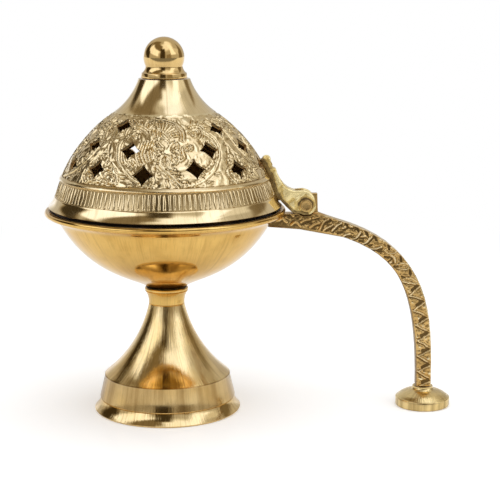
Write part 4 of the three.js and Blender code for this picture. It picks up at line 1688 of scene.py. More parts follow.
    def _relief_attribute(self, mesh: bpy.types.Mesh) -> None:
        """Stores how high each vertex stands in the relief, where it is polished and where smoked.

        Args:
            mesh: The pierced lid's mesh.
        """
        places = coordinates(mesh)
        out, up = from_axis(places), places[:, 2]
        dome = self.dome_line()
        slope = np.interp(up, dome[:, 1], directions(dome)[:, 1])
        sink = (np.interp(up, dome[:, 1], dome[:, 0]) - out) * slope
        outer, _ = self.outside()
        rows = outer[:, 1].argsort()
        skin = np.interp(up, outer[rows, 1], outer[rows, 0])
        half_wall = self.wall / 2
        on_dome = (up > self.dome_z + 0.2) & (up < self.cone_z) & (sink < 1.1 * self.relief)
        in_band = (up > self.band_z - 0.05) & (up < self.ring_z + 0.1) & (out > self.band_top_r - half_wall)
        at_ring = (up > self.dome_z - 0.15) & (up < self.dome_z + 0.25) & (out > self.dome_r - half_wall)
        on_ring = (up > self.ring_z) & (up < self.dome_z - 0.1)
        by_dome = (up > self.dome_z) & (up < self.cone_z)
        deep = np.where(by_dome, sink > 0.6 * self.wall, out < skin - 0.55 * self.wall)
        inside = deep | (up < self.edge_z + 0.05)
        values = np.ones(len(places))
        values[on_dome] = np.clip(1 - sink[on_dome] / self.relief, 0, 1)
        values[in_band] = 0.2
        values[at_ring] = 0.1
        values[on_ring] = 0.66 + 0.2 * ripple(places[on_ring], 2.2, 25)
        values[inside] = 1.0
        smooth_part = ((up < self.band_z) | (up > self.cone_z + 0.3)) & ~inside
        paint(mesh, "relief", values)
        paint(mesh, "polish", smooth_part.astype(float))
        paint(mesh, "soot_and_gap_shade", inside.astype(float))

    def build(self, shop: Workshop) -> None:
        """Makes, pierces, finishes and hands over the lid and its ribs.

        Args:
            shop: The workshop.
        """
        piece = self.shell()
        cutter = self.cutters()
        cut = piece.modifiers.new("pierce", "BOOLEAN")
        cut.operation = "DIFFERENCE"
        cut.solver = "MANIFOLD"
        cut.object = cutter
        settled(piece)
        bpy.data.objects.remove(cutter)
        self._relief_attribute(piece.data)
        shop.hand_over(smooth(piece, sharp_angle=48), CHASED, Body.LID, Slot.CHASED, "lid_dome")
        ribs = RibRing(self).build(shop.material(CHASED))
        self._wear(ribs.data)
        shop.hand_over(ribs, CHASED, Body.LID, Slot.CHASED)

    def _wear(self, mesh: bpy.types.Mesh) -> None:
        """Wears the ribs unevenly; they are bright on top and dark at their foot.

        Args:
            mesh: The ribs' mesh.
        """
        places = coordinates(mesh)
        middle = (AXIS[0], AXIS[1], 0.0)
        centred = places - middle
        out = from_axis(places)
        line = np.interp(places[:, 2], [self.band_z, self.ring_z], [self.skirt_top_r, self.band_top_r])
        proud = np.clip(1 - (line - out) / self.band_recess, 0, 1)
        worn = out - proud * (0.12 + 0.09 * ripple(places, 2.2, 21) + 0.08 * ripple(places, 0.9, 22))
        worn = np.minimum(worn, line + 0.05)
        share = (worn / out)[:, None]
        centred[:, :2] *= share
        centred[:, 2] += 0.08 * ripple(places, 1.5, 23)
        sideways = np.stack([-centred[:, 1], centred[:, 0]], 1) / out[:, None]
        centred[:, :2] += sideways * (0.1 * ripple(places, 2.6, 24))[:, None]
        move_vertices(mesh, centred + middle)
        paint(mesh, "relief", np.clip(0.12 + 0.72 * proud, 0, 1))
        paint(mesh, "polish", np.zeros(len(places)))


class GeometryTree(Shader):
    """A geometry node tree under construction, with named inputs."""

    def __init__(self, name: str, inputs: dict[str, str]) -> None:
        """Makes a tree with a geometry output and inputs of socket types, by name.

        Args:
            name: The tree's name.
            inputs: Socket types of the inputs, by name.
        """
        super().__init__(bpy.data.node_groups.new(name, "GeometryNodeTree"))
        add = self.tree.interface.new_socket
        add("Geometry", in_out="OUTPUT", socket_type="NodeSocketGeometry")
        made = {key: add(key, in_out="INPUT", socket_type=kind) for key, kind in inputs.items()}
        self.inputs = {key: socket.identifier for key, socket in made.items()}
        self.source = self.node("NodeGroupInput")

    def finish(self, geometry: Socket, material: Socket) -> None:
        """Realizes the instances, sets the material and ends the tree.

        Args:
            geometry: The instances.
            material: The material.
        """
        real = self.node("GeometryNodeRealizeInstances", {}, {"Geometry": geometry})
        dressed = self.node("GeometryNodeSetMaterial", {}, {"Geometry": real[0], "Material": material})
        self.node("NodeGroupOutput", {}, {0: dressed[0]})

    def run(self, name: str, values: dict[str, object]) -> bpy.types.Object:
        """Evaluates the tree into a plain mesh object.

        Args:
            name: The piece's name.
            values: The inputs' values, by name.

        Returns:
            The object, with its modifier removed.
        """
        obj = linked(name, bpy.data.meshes.new(name))
        modifier = obj.modifiers.new(name, "NODES")
        modifier.node_group = self.tree
        for key, value in values.items():
            modifier[self.inputs[key]] = value
        return settled(obj)


@dataclass
class RibRing:
    """The worn upright ribs of the lid's band, one shape set round the lid.

    Attributes:
        lid: The lid that they stand on.
        half_width: Half a rib's width.
        levels: Heights up the band, and how far the rib stands out there.
        section: Places across the rib, and how far it stands out there.
        wear: How much smaller the most worn rib is.
        seed: Picks the ribs' wear.
    """

    lid: Lid
    half_width: float = 0.66
    levels: tuple[tuple[float, float], ...] = (
        (0.1, 0.3), (0.35, 0.95), (0.8, 1.0), (1.15, 0.6), (1.5, 0.9), (3.2, 0.85), (5.0, 0.95), (6.0, 0.85),
        (6.35, 0.3),
    )
    section: tuple[tuple[float, float], ...] = (
        (-1.0, -0.35), (-0.72, 0.55), (-0.25, 0.94), (0.25, 0.94), (0.72, 0.55), (1.0, -0.35),
    )
    wear: float = 0.004
    seed: int = 7

    def _rib(self) -> bpy.types.Object:
        """One rib, at the end of the +X radius, as a small loft.

        Returns:
            The rib.
        """
        lid = self.lid
        lean = (lid.band_top - lid.skirt_top) / lid.band_h
        vertices: list[tuple[float, float, float]] = []
        for up, share in self.levels:
            out = lid.skirt_top_r + lean[0] * up
            for across, rise in self.section:
                depth = lid.band_recess * (rise * share - 1.0)
                vertices.append((out + depth, across * self.half_width, lid.band_z + up))
        count = len(self.section)
        top = len(vertices) - count
        faces = []
        for low in range(0, top, count):
            for i in range(count):
                j = (i + 1) % count
                faces.append([low + i, low + j, low + count + j, low + count + i])
        faces += [list(range(count))[::-1], [top + i for i in range(count)]]
        return mesh_object("rib", np.array(vertices), faces)

    def build(self, material: bpy.types.Material) -> bpy.types.Object:
        """Sets the ribs round the lid with a geometry node tree.

        Args:
            material: The ribs' material.

        Returns:
            The ribs as one piece.
        """
        rib = self._rib()
        inputs = {
            "Count": ("Int", self.lid.rib_count),
            "Step": ("Float", FULL_TURN / self.lid.rib_count),
            "Centre": ("Vector", (AXIS[0] * MM, AXIS[1] * MM, 0.0)),
            "Wear": ("Float", self.wear),
            "Rib": ("Object", rib),
            "Material": ("Material", material),
        }
        tree = GeometryTree("rib_ring", {name: f"NodeSocket{kind}" for name, (kind, _) in inputs.items()})
        source = tree.source
        still = (0.0, 0.0, 0.0)
        spots = {"Count": source["Count"], "Start Location": source["Centre"], "Offset": still}
        line = tree.node("GeometryNodeMeshLine", {"mode": "OFFSET"}, spots)
        own = {"transform_space": "ORIGINAL"}
        shape = tree.node("GeometryNodeObjectInfo", own, {"Object": source["Rib"]})["Geometry"]
        turn = tree.node("GeometryNodeInputIndex")[0] * source["Step"]
        bounds = {2: 0.0, 3: 1.0, "Seed": self.seed}
        chance = tree.node("FunctionNodeRandomValue", {"data_type": "FLOAT"}, bounds)
        size = 1.0 - chance[1] * source["Wear"]
        placed = {
            "Points": line[0],
            "Instance": shape,
            "Rotation": tree.combine(0.0, 0.0, turn),
            "Scale": tree.combine(size, size, 1.0),
        }
        copies = tree.node("GeometryNodeInstanceOnPoints", {}, placed)
        tree.finish(copies[0], source["Material"])
        ribs = tree.run("lid_rib_band", {name: value for name, (_, value) in inputs.items()})
        bpy.data.objects.remove(rib)
        return smooth(ribs, sharp_angle=60)


@dataclass
class Finial(Turned):
    """The turned ball finial with its collar."""

    node = "finial"
    sides = 128
    finish = FINIAL_BRASS
    body = Body.LID
    collar_z: float = 139.8
    collar_r: float = 9.5
    collar_h: float = 2.1
    neck_h: float = 2.7
    ball_r: float = 8.35
    ball_sink: float = 3.5
    bore_r: float = 2.3
    bore_h: float = 9.0
    edge: float = 0.3
    lean: float = 0.22

    def outline(self) -> Line:
        """The section, from the bore's end to the ball's top.

        Returns:
            The points, one row each.
        """
        neck_r = math.sqrt(self.ball_r**2 - self.ball_sink**2)
        neck = point(neck_r, self.collar_z + self.collar_h + self.neck_h)
        ball = neck + (-neck_r, self.ball_sink)
        turn = -math.degrees(math.asin(self.ball_sink / self.ball_r))
        top = point(self.collar_r - self.edge, self.collar_z + self.collar_h)
        return path(
            (0, self.collar_z + self.bore_h),
            (self.bore_r, self.collar_z + self.bore_h),
            (self.bore_r, self.collar_z),
            (self.collar_r - self.edge, self.collar_z),
            arc(point(self.collar_r - self.edge, self.collar_z + self.edge), self.edge, -90, 0, 4),
            arc(point(self.collar_r - self.edge - self.lean, top[1] - self.edge), self.edge, 0, 90, 4),
            bow(top - (self.lean, 0), neck, -0.3, 12),
            arc(ball, self.ball_r, turn, 90, 40)[1:-1],
            (0, ball[1] + self.ball_r),
        )


@dataclass
class HandleFoot(Turned):
    """The turned foot under the handle."""

    node = "handle_foot"
    sides = 96
    finish = FOOT_BRASS
    axis = FOOT_AXIS
    radius: float = 11.5
    rim_h: float = 3.6
    edge: float = 0.8
    neck_r: float = 4.3
    height: float = 8.5
    dome_h: float = 6.9
    bulge: float = 0.5
    bore_r: float = 1.8
    recess_r: float = 5.6
    recess_h: float = 2.6

    def outline(self) -> Line:
        """The section as a loop, from the recess's edge.

        Returns:
            The points, one row each.
        """
        corner = point(self.radius - self.edge, self.edge)
        rim_top = point(self.radius - self.edge / 2, self.rim_h + self.edge / 2)
        neck_foot = point(self.neck_r + self.edge, self.dome_h)
        return path(
            (self.recess_r, 0),
            (self.radius - self.edge, 0),
            arc(corner, self.edge, -80, 0, 6),
            (self.radius, self.rim_h),
            bow(point(self.radius, self.rim_h), rim_top, 0.08, 4),
            bow(rim_top, neck_foot, self.bulge, 16),
            bow(neck_foot, point(self.neck_r, self.height), -0.25, 6),
            (self.bore_r, self.height),
            (self.bore_r, self.recess_h),
            (self.recess_r, self.recess_h),
        )


@dataclass
class Casting:
    """A cast piece: the CAD solid remeshed finely, so that its skin can carry relief.

    Attributes:
        node: The CAD node that it stands for.
        body: The body that it rides on.
        finish: Its finish.
        voxel: Size of its mesh, in millimetres.
        rounds: How many times its edges are softened.
        plump: How far its skin is pushed out again after that, in millimetres.
    """

    node: str
    body: Body
    finish: Brass
    voxel: float
    rounds: int
    plump: float = 0.0

    def blank(self) -> bpy.types.Object:
        """A finely meshed copy of the CAD solid.

        Returns:
            The copy.
        """
        mesh = frame["nodes"][self.node].data.copy()
        obj = linked(f"{self.node}_cast", mesh)
        work = bmesh.new()
        work.from_mesh(mesh)
        bmesh.ops.remove_doubles(work, verts=work.verts, dist=1e-6)
        work.to_mesh(mesh)
        work.free()
        remesh = obj.modifiers.new("remesh", "REMESH")
        remesh.mode = "VOXEL"
        remesh.voxel_size = self.voxel * MM
        remesh.use_smooth_shade = True
        soften = obj.modifiers.new("soften", "SMOOTH")
        soften.factor = 0.5
        soften.iterations = self.rounds
        if self.plump:
            push = obj.modifiers.new("push", "DISPLACE")
            push.strength = self.plump * MM
            push.mid_level = 0.0
        return settled(obj)

    def build(self, shop: Workshop, shape: Skin) -> None:
        """Cuts the relief, finishes and hands over the piece.

        Args:
            shop: The workshop.
            shape: Gives new places and relief heights for the vertices' places and normals.
        """
        obj = self.blank()
        places, relief = shape(coordinates(obj.data), vertex_rows(obj.data, "normal"))
        move_vertices(obj.data, places)
        paint(obj.data, "relief", relief)
        obj.data.shade_smooth()
        shop.hand_over(obj, self.finish, self.body, Slot.CAST, self.node)


@dataclass
class HandleRelief:
    """Relief on the handle's two sides: cut strokes and leaves on the arm, a zigzag down the leg.

    Places of a side are millimetres: along the centre line from the arm's start, and across it.
    """

    half: float = 3.5
    edge: float = 0.45
    depth: float = 0.62
    arm_start: tuple[float, float] = (54.1, 81.2)
    slope: float = 7.9
    arm_pull: float = 51.3
    leg_pull: float = 40.7
    reach: float = 109.0
    foot_top: float = 8.8
    lead: float = 16.0
    zigzag_from: float = 56.0
    zigzag_pitch: float = 6.85
    zigzag_count: int = 7
    ground: float = 0.66
    crown: float = 0.32

    def centre_line(self) -> Line:
        """The handle's centre line in the part's frame, with a straight lead into the root.

        Returns:
            The points, one row each.
        """
        start = np.array(self.arm_start)
        end = np.array([self.reach, self.foot_top])
        bend = on_circle(start, self.arm_pull, -self.slope)
        way = bezier(start, bend, end + (0, self.leg_pull), end, 260)
        return path(on_circle(start, -self.lead, -self.slope), way) + (AXIS[0], 0)

    def unroll(self, places: np.ndarray) -> np.ndarray:
        """Places of the side as distance along the centre line and across it.

        Args:
            places: Points of the side: along X and up, one row each.

        Returns:
            Distances along the centre line and across it, one row each.
        """
        line = refine(self.centre_line(), 1.0)
        runs = np.diff(line, axis=0)
        lengths = np.hypot(runs[:, 0], runs[:, 1])
        starts = np.concatenate([[0], np.cumsum(lengths)])[:-1] - self.lead
        best = np.full(len(places), 1e9)
        result = np.zeros((len(places), 2))
        for a, run, length, start in zip(line[:-1], runs, lengths, starts):
            along = np.clip(((places - a) @ run) / length**2, 0, 1)
            gap = places - a - along[:, None] * run
            distance = np.hypot(gap[:, 0], gap[:, 1])
            side = np.sign(run[0] * gap[:, 1] - run[1] * gap[:, 0])
            closer = distance < best
            best[closer] = distance[closer]
            result[closer, 0] = start + along[closer] * length
            result[closer, 1] = side[closer] * distance[closer]
        return result

    def strokes(self) -> list[Stroke]:
        """The lines of one side, in unrolled places."""
        return self._leg() + self._arm() + self._root()

    def _leg(self) -> list[Stroke]:
        """The zigzag: a fine raised line one way, a broad cut notch the other.

        Returns:
            The lines.
        """
        lines: list[Stroke] = []
        for i in range(self.zigzag_count):
            s = self.zigzag_from + self.zigzag_pitch * i
            lines += engraved([((s, -3.0), (s + 1.9, -0.2), (s + 3.9, 2.6))], 0.36, 0.68, 0.3, 0.8)
            lines.append(Stroke(curve((s + 5.0, 2.7), (s + 6.0, 0.2), (s + 7.3, -2.6)), 0.3))
            lines.append(Stroke(curve((s + 4.1, 1.8), (s + 5.2, -0.5)), 0.86, -0.88))
        return lines

    def _arm(self) -> list[Stroke]:
        """Leaves, strokes and notches along the arm.

        Returns:
            The lines.
        """
        lines: list[Stroke] = []
        for leaf in self.leaves():
            lines += [leaf.outline(), leaf.vein()]
        rows = (
            ((34.2, -2.8), (36.4, -1.4), (38.2, 0.4)), ((43.4, 0.1), (45.2, 0.2), (46.8, -0.6)),
            ((45.3, -0.2), (45.6, -1.4), (45.5, -2.8)), ((20.0, 0.8), (21.6, 1.9), (23.3, 2.4)),
            ((27.9, -0.3), (29.4, 0.8), (30.8, 1.1)), ((15.9, -1.8), (17.0, 0.4), (18.5, 2.3)),
            ((25.0, -2.6), (26.8, -1.0), (27.4, 1.6)), ((30.2, -2.8), (31.8, -0.8), (32.2, 1.8)),
            ((21.2, -2.8), (22.6, -1.4), (24.8, -0.6)),
        )
        lines += engraved(rows, 0.42, 0.85, 0.4, 0.9)
        high = (20.5, 24.9, 29.2, 33.2, 40.0, 46.6, 53.4)
        low = (18.6, 23.4, 28.6, 33.0, 38.0, 42.0, 48.0, 53.6)
        lines += [Stroke(curve((s, 2.6), (s + 1.4, 1.5)), 0.72, -1.0) for s in high]
        return lines + [Stroke(curve((s, -2.1), (s + 1.2, -1.1)), 0.6, -0.85) for s in low]

    def _root(self) -> list[Stroke]:
        """Short arcs near the hinge.

        Returns:
            The lines.
        """
        rows = (
            ((6.9, 1.9), (8.0, 2.5), (9.1, 2.8)), ((2.3, -0.7), (4.0, 0.5), (5.7, 1.2)),
            ((6.6, -2.4), (7.9, -0.7), (9.8, 0.2)), ((10.6, -2.6), (11.4, 0.9), (13.2, 2.4)),
            ((-1.6, -2.4), (0.2, -1.2), (2.4, -2.6)), ((-5.4, 1.8), (-3.2, 2.6), (-1.2, 1.4)),
            ((-7.8, -1.6), (-5.6, -0.2), (-3.4, -1.8)), ((12.4, -2.4), (13.8, -0.9), (15.2, 0.8)),
        )
        return engraved(rows, 0.44, 0.9, 0.46, 0.95)

    def leaves(self) -> list[Petal]:
        """Lens-shaped leaves across the arm.

        Returns:
            The leaves.
        """
        pads = []
        ends = (((40.0, -0.3), (43.8, 3.1)), ((48.3, -1.8), (51.7, 2.7)), ((55.1, -2.0), (59.2, 2.2)))
        for root, tip in ends:
            out, up = np.subtract(tip, root)
            turn = math.degrees(math.atan2(up, out))
            pads.append(Petal(root, turn, float(np.hypot(out, up)), 1.2, 1.0))
        return pads

    def shape(self, places: np.ndarray, facing: np.ndarray) -> tuple[np.ndarray, np.ndarray]:
        """Sinks the ground of the sides and tells how high each vertex stands.

        Args:
            places: The handle's vertices in millimetres.
            facing: Their normals.

        Returns:
            The moved vertices, and their relief from 0 in the hollows to 1, lowered as painted shade on faces
            turned down or to the bowl, on the lug, on the inner edges and towards the hinge.
        """
        moved = places.copy()
        relief = 0.88 + 0.08 * ripple(places, 2.0, 31)
        # Painted shade on faces that look down or towards the bowl.
        relief *= 1 - 0.85 * under_share(facing)
        # Painted shade on the lug set back behind the strap's cheek, darkest on its right side.
        lug = (places[:, 2] > PIN[1] - 4.6) & (places[:, 0] < PIN[0] + 8.0)
        relief[lug] *= np.where(facing[lug, 0] > 0.6, 0.3, 0.6)
        flank = self.half - self.edge
        on_side = np.abs(places[:, 1]) > flank
        side = places[on_side]
        flat = self.unroll(side[:, [0, 2]])
        flat += 0.1 * np.stack([ripple(side, 3.0, 32), ripple(side, 3.0, 33)], 1)
        ground = self.ground + 0.12 * ripple(side, 1.9, 34) + 0.06 * ripple(side, 0.8, 35)
        worms = np.clip(np.abs(ripple(side, 2.4, 36)) / 0.4, 0, 1)
        # Towards the hinge the ground sinks and darkens, partly tarnish and partly painted shade.
        ground -= (0.32 + 0.5 * (1 - worms)) * np.clip((34.0 - flat[:, 0]) / 14.0, 0, 1)
        rim = np.clip((np.abs(flat[:, 1]) - 2.8) / 0.3, 0, 1)
        height = Chasing(self.strokes(), self.leaves(), 0.4, 0.95).height(flat, ground)
        # The outer edge of each side is bright, partly wear and partly a painted highlight; the inner edge is
        # painted shade; both are painted darker towards the hinge.
        edge = np.where(flat[:, 1] > 0, 0.95, 0.45) * np.clip(0.4 + flat[:, 0] / 30.0, 0.3, 1)
        height = (height + (edge - height) * rim) * np.clip(0.66 + flat[:, 0] / 50.0, 0.5, 1)
        skin = np.clip((np.abs(side[:, 1]) - flank) / 0.3, 0, 1)
        round_off = self.crown * np.clip(np.abs(flat[:, 1]) / self.half, 0, 1) ** 2
        moved[on_side, 1] -= np.sign(side[:, 1]) * (self.depth * (1 - height) * skin + round_off)
        relief[on_side] = height * skin + (1 - skin) * relief[on_side]
        return moved, relief


@dataclass
class StrapSkin:
    """The strap's worn skin: shallow dents, and a raised rim round each pin head.

    Attributes:
        dent: Depth of the dents.
        rim: Radius, width and height of the rim.
        groove: Radius, width and depth of the groove inside it.
        neck_turn: Direction in degrees in which the rim is open towards the strap.
        lump: Height of the lumps outside the rim.
        fork: Half the gap of the fork, which stays open.
        touch: How near to the dome the strap's underside is laid onto it.
    """

    dent: float = 0.06
    rim: tuple[float, float, float] = (4.3, 0.5, 0.3)
    groove: tuple[float, float, float] = (2.85, 0.34, 0.25)
    neck_turn: float = -130.0
    lump: float = 0.12
    fork: float = 1.75
    touch: float = 0.9

    def _under_gap(self, places: np.ndarray, facing: np.ndarray) -> np.ndarray:
        """How far each vertex is, as seen from the side, from the strap's underside, along which shade is
        painted.

        Args:
            places: The strap's vertices in millimetres.
            facing: Their normals.

        Returns:
            One distance for each.
        """
        face = np.abs(places[:, 1])
        under = KDTree(len(places))
        for i in np.nonzero((under_share(facing) > 0.6) & (face < face.max() - 0.5))[0]:
            under.insert((places[i, 0], 0.0, places[i, 2]), int(i))
        under.balance()
        return np.array([under.find((x, 0.0, z))[2] for x, z in places[:, [0, 2]]])

    def shape(self, places: np.ndarray, facing: np.ndarray) -> tuple[np.ndarray, np.ndarray]:
        """Dents the skin, raises the rims and paints shade against the dome and along the underside.

        Args:
            places: The strap's vertices in millimetres.
            facing: Their normals.

        Returns:
            The moved vertices, and their relief from 0 in the hollows to 1, with painted shade in it.
        """
        dents = 0.75 * ripple(places, 5.0, 41) + 0.25 * ripple(places, 2.0, 42)
        low = np.clip(-dents, 0, 1.2)
        middle = np.array([(places[:, 0].min() + places[:, 0].max()) / 2, 0.0, places[:, 2].mean()])
        inward = middle - places
        inward /= np.maximum(np.linalg.norm(inward, axis=1), 1e-6)[:, None]
        moved = places + inward * (self.dent * low)[:, None]
        face = np.abs(places[:, 1])
        outside = np.clip((face - face.max() + 0.7) / 0.4, 0, 1)
        away = places[:, [0, 2]] - PIN
        reach = np.hypot(away[:, 0], away[:, 1])
        turn = np.degrees(np.arctan2(away[:, 1], away[:, 0]))
        from_neck = np.abs((turn - self.neck_turn + 180.0) % 360.0 - 180.0)
        (rim_r, rim_w, rim_h), (groove_r, groove_w, groove_d) = self.rim, self.groove
        rim = np.exp(-(((reach - rim_r) / rim_w) ** 2)) * outside * np.clip((from_neck - 40.0) / 20.0, 0, 1)
        groove = np.exp(-(((reach - groove_r) / groove_w) ** 2)) * outside
        lumps = self.lump * dents * np.clip(reach - 2.8, 0, 1)
        moved[:, 1] += np.sign(places[:, 1]) * (rim_h * rim - groove_d * groove + lumps)
        dome = Lid().outside()[0]
        clear = from_axis(places) - np.interp(places[:, 2], dome[:, 1], dome[:, 0])
        close = (clear < self.touch) & (under_share(facing) > 0.3)
        moved[close, 0] -= clear[close]
        fork = (facing[:, 1] * places[:, 1] < 0) & (np.abs(facing[:, 1]) > 0.15)
        moved[fork, 1] = np.sign(places[fork, 1]) * np.maximum(np.abs(moved[fork, 1]), self.fork)
        gap = self._under_gap(places, facing)
        # Painted shade where the strap lies close to the dome and along its underside.
        shade = np.clip(clear / 0.5, 0.2, 1) * np.clip((gap - 1.1) / 0.6, 0.12, 1)
        return moved, np.clip((0.96 - 0.6 * low + 0.3 * rim - 0.55 * groove) * shade, 0, 1)


@dataclass
class HingePin(Turned):
    """The hinge pin with its two raised-ring heads."""

    node = "hinge_pin"
    sides = 40
    finish = CAST
    slot = Slot.CAST
    axis = np.zeros(2)
    radius: float = 1.6
    head_r: float = 2.5
    head_t: float = 0.9
    seat: float = 4.2

    def outline(self) -> Line:
        """The section along the pin, from one head's middle to the other's.

        Returns:
            The points, one row each.
        """
        top = self.seat + self.head_t
        head = path(
            (self.radius, self.seat),
            (self.head_r, self.seat),
            (self.head_r, top - 0.35),
            arc(point(self.head_r - 0.35, top - 0.35), 0.35, 0, 90, 5),
            arc(point(self.head_r - 0.75, top - 0.12), 0.15, 90, 180, 3) + (0.0, -0.05),
            (1.2, top - 0.22),
            (0, top - 0.18),
        )
        mirrored = head * np.array([1, -1])
        return path(mirrored[::-1], head)

    def mark(self, mesh: bpy.types.Mesh) -> None:
        """Lays the pin along the hinge and darkens its heads' middles.

        Args:
            mesh: The turned mesh.
        """
        lay = Matrix.Translation((PIN[0] * MM, 0, PIN[1] * MM)) @ Matrix.Rotation(math.pi / 2, 4, "X")
        mesh.transform(lay)
        places = coordinates(mesh)
        reach = np.hypot(places[:, 0] - PIN[0], places[:, 2] - PIN[1])
        paint(mesh, "relief", np.interp(reach, [1.4, 2.1], [0.36, 0.6]))


@dataclass(frozen=True)
class Panel:
    """A soft-edged board of light or shade in the room, placed in degrees as seen from the object.

    Attributes:
        turn: Direction of its middle, 0 towards the camera and positive to the right.
        rise: Height of its middle.
        half_width: Half its width.
        half_height: Half its height.
        edge: Half the width of its soft edge.
        shade: Its brightness.
        slant: How far it rises for each degree to the right.
    """

    turn: float
    rise: float
    half_width: float
    half_height: float
    edge: float
    shade: float
    slant: float = 0.0

    def cover(self, turn: Socket, rise: Socket) -> Socket:
        """How far the board covers a direction, from 0 to 1.

        Args:
            turn: Direction of the view, in degrees.
            rise: Its height, in degrees.

        Returns:
            The board's share.
        """
        across = turn - self.turn
        up = rise - self.rise - across * self.slant
        inside = 1.0 - across.size().step(self.half_width - self.edge, self.half_width + self.edge)
        return inside * (1.0 - up.size().step(self.half_height - self.edge, self.half_height + self.edge))


ROOM = {
    "ceiling": Panel(76, 79, 123, 25, 10, 1.25, 0.27),
    "left cornice": Panel(-72, 57, 63, 17, 5, 0.22, -0.1),
    "left softbox": Panel(-68, 30, 37, 15, 4, 1.4, -0.22),
    "left corner": Panel(-111, 17, 23, 17, 5, 0.05, -0.55),
    "camera side": Panel(-5, 8, 15, 42, 5, 0.06, 0.05),
    "front wall": Panel(30, 4, 14, 14, 3, 0.3, 0.17),
    "right softbox": Panel(61, 42, 17, 27, 4, 1.45),
    "right wall": Panel(96, 21, 26, 13, 5, 0.82, -0.61),
    "right corner": Panel(112, 8, 16, 24, 5, 0.2, 0.8),
    "back sweep": Panel(-170, -8, 23, 11, 6, 1.1, 0.2),
}


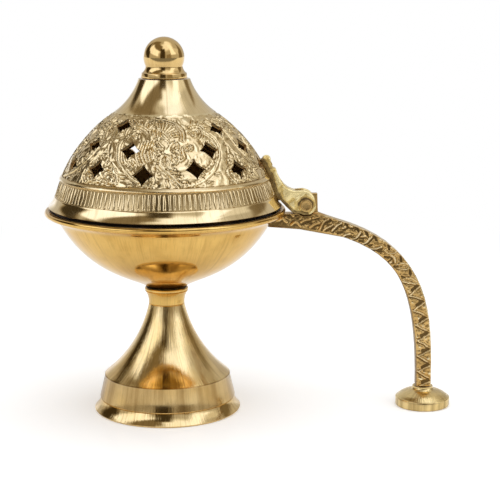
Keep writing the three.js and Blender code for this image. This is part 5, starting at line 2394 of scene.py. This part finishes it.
@dataclass
class Studio:
    """The plain floor, the lamp, the room round the object and the camera."""

    turn: float = 1.5
    pitch: float = 11.13
    lens: float = 104.22
    sensor: float = 36.0
    distance: float = 595.02
    aside: float = 19.53
    height: float = 184.9
    level: float = 0.68
    front_share: float = 0.85
    front_way: tuple[float, float] = (0.3, 0.95)
    wall_shade: float = 0.56
    wall_warmth: Rgb = (1.0, 0.74, 0.36)
    light_coolness: Rgb = (1.0, 1.07, 1.3)
    floor_size: float = 6000.0
    floor_fade: tuple[float, float] = (220.0, 450.0)
    floor_lift: float = 0.16
    camera_lift: float = 0.08
    albedo: float = 0.86
    camera_albedo: float = 0.99
    table_depth: tuple[float, float] = (230.0, 420.0)
    table_share: float = 0.75
    floor_gloss: float = 0.04
    gloss_roughness: float = 0.12
    lamp_place: tuple[float, float, float] = (0.0, 60.0, 900.0)
    lamp_size: tuple[float, float] = (900.0, 700.0)
    lamp_power: float = 2.6
    lamp_aim: float = 70.0

    def camera(self) -> None:
        """Puts the camera at the photograph's angle."""
        data = bpy.data.cameras.new("camera")
        data.lens = self.lens
        data.sensor_width = self.sensor
        data.clip_end = 20.0
        obj = linked("camera", data)
        obj.location = Vector((AXIS[0] + self.aside, AXIS[1] - self.distance, self.height)) * MM
        obj.rotation_euler = (math.radians(90 - self.pitch), 0, -math.radians(self.turn))
        bpy.context.scene.camera = obj

    def floor(self) -> None:
        """A pale floor that stays white to the camera but keeps the shadow."""
        side = self.floor_size / 2
        corners = np.array([[-side, -side, 0], [side, -side, 0], [side, side, 0], [-side, side, 0]])
        mesh = bpy.data.meshes.new("floor")
        mesh.from_pydata((corners * MM).tolist(), [], [[0, 1, 2, 3]])
        obj = linked("floor", mesh)
        material = bpy.data.materials.new("floor_white")
        material.use_nodes = True
        shader = Shader(material.node_tree)
        rays = shader.node("ShaderNodeLightPath")
        camera = rays["Is Camera Ray"]
        mirrored = rays["Is Glossy Ray"] + rays["Is Transmission Ray"]
        parts = shader.split(shader.place())
        away = shader.vector_math("LENGTH", shader.combine(parts[0], parts[1], 0.0))["Value"]
        far = away.step(*(reach * MM for reach in self.floor_fade))
        lift = (camera + mirrored) * self.floor_lift + camera * self.camera_lift
        glow = shader.node("ShaderNodeEmission", {}, {"Color": WHITE, "Strength": lift})
        albedo = camera * (self.camera_albedo - self.albedo) + self.albedo
        matt = shader.node("ShaderNodeBsdfDiffuse", {}, {"Color": shader.combine(albedo, albedo, albedo)})
        near = shader.node("ShaderNodeAddShader", {}, {0: glow[0], 1: matt[0]})
        gloss = shader.node("ShaderNodeBsdfGlossy", {}, {"Color": WHITE, "Roughness": self.gloss_roughness})
        near = shader.node("ShaderNodeMixShader", {}, {0: self.floor_gloss, 1: near[0], 2: gloss[0]})
        table_end = (-1.0 * parts[1]).step(*(reach * MM for reach in self.table_depth))
        shown = mirrored * (1.0 - self.table_share * table_end)
        light = camera + shown + (1.0 - camera - mirrored) * self.level
        wide = shader.node("ShaderNodeEmission", {}, {"Color": WHITE, "Strength": light})
        both = shader.node("ShaderNodeMixShader", {}, {0: far, 1: near[0], 2: wide[0]})
        shader.node("ShaderNodeOutputMaterial", {}, {"Surface": both[0]})
        obj.data.materials.append(material)

    def world(self) -> None:
        """White behind the object, and a room of soft light and shade for the metal to show."""
        world = bpy.data.worlds.new("studio")
        bpy.context.scene.world = world
        world.use_nodes = True
        shader = Shader(world.node_tree)
        rays = shader.node("ShaderNodeLightPath")
        way = shader.split(shader.place("Generated"))
        degree = 360 / FULL_TURN
        turn = shader.math("ARCTAN2", way[0], -1.0 * way[1]) * degree
        rise = shader.math("ARCSINE", way[2]) * degree
        room: Socket | float = self.wall_shade
        for panel in ROOM.values():
            room = panel.cover(turn, rise) * (panel.shade - room) + room
        tint = shader.mix(room.step(0.0, 0.7), self.wall_warmth, WHITE)
        tint = shader.mix(room.step(0.75, 1.25), tint, self.light_coolness)
        soft = rays["Is Diffuse Ray"]
        seen = rays["Is Camera Ray"]
        plain = shader.math("MAXIMUM", seen, soft)
        left, front = self.front_way
        from_front = self.level * (1.0 - self.front_share * (way[1] * front - way[0] * left))
        strength = seen + (1.0 - seen) * (soft * from_front + (1.0 - soft) * room)
        colour = shader.mix(plain, tint, WHITE)
        light = shader.node("ShaderNodeBackground", {}, {"Color": colour, "Strength": strength})
        shader.node("ShaderNodeOutputWorld", {}, {"Surface": light[0]})

    def lamp(self) -> None:
        """A soft rectangular lamp above, which faces the object."""
        data = bpy.data.lights.new("top", "AREA")
        data.shape = "RECTANGLE"
        data.size, data.size_y = (side * MM for side in self.lamp_size)
        data.energy = self.lamp_power
        obj = linked("top", data)
        obj.location = Vector(self.lamp_place) * MM
        aim = Vector((0, 0, self.lamp_aim)) * MM - obj.location
        obj.rotation_euler = aim.to_track_quat("-Z", "Y").to_euler()
        obj.visible_glossy = False

    def build(self) -> None:
        """Sets up the whole studio."""
        self.camera()
        self.floor()
        self.world()
        self.lamp()
        bpy.context.scene.view_settings.view_transform = "Standard"


@dataclass
class Rivet:
    """A strap rivet whose outer head is hammered down until it hardly shows.

    Attributes:
        node: The rivet's CAD node.
        head: Height of its head as made, in millimetres.
        left: Height that is left of it.
        relief: How bright it is, as a height in the relief.
    """

    node: str
    head: float = 0.8
    left: float = 0.25
    relief: float = 0.8

    def build(self, shop: Workshop) -> None:
        """Lowers the head and hands over the rivet.

        Args:
            shop: The workshop.
        """
        piece = linked(f"{self.node}_dressed", frame["nodes"][self.node].data.copy())
        places = coordinates(piece.data)
        middle = places.mean(axis=0)
        axis = np.linalg.svd(places - middle, full_matrices=False)[2][0]
        axis *= np.sign(axis[0])
        along = (places - middle) @ axis
        above = np.clip(along - (along.max() - self.head), 0, None)
        move_vertices(piece.data, places - np.outer(above * (1 - self.left / self.head), axis))
        paint(piece.data, "relief", np.full(len(places), self.relief))
        shop.hand_over(piece, STRAP_BRASS, Body.LID, Slot.FASTENER, self.node)


FASTENERS = (
    "bowl_bolt", "bowl_bolt_washer", "bowl_bolt_nut", "handle_screw_1", "handle_screw_2", "handle_foot_screw",
    "finial_washer", "finial_screw",
)


def main() -> None:
    """Builds the studio and every piece in order."""
    Studio().build()
    shop = Workshop()
    for piece in (Pedestal(), Bowl(), Lid(), Finial(), HandleFoot(), HingePin()):
        piece.build(shop)
    handle = Casting("handle", Body.BURNER, CAST, voxel=0.26, rounds=2)
    handle.build(shop, HandleRelief().shape)
    strap = Casting("lid_strap", Body.LID, STRAP_BRASS, voxel=0.2, rounds=24, plump=0.15)
    strap.build(shop, StrapSkin().shape)
    for node in FASTENERS:
        shop.finish_node(node, FASTENER)
    for rivet in (Rivet("lid_strap_rivet_1", head=1.5), Rivet("lid_strap_rivet_2")):
        rivet.build(shop)


if __name__ == "__main__":
    main()
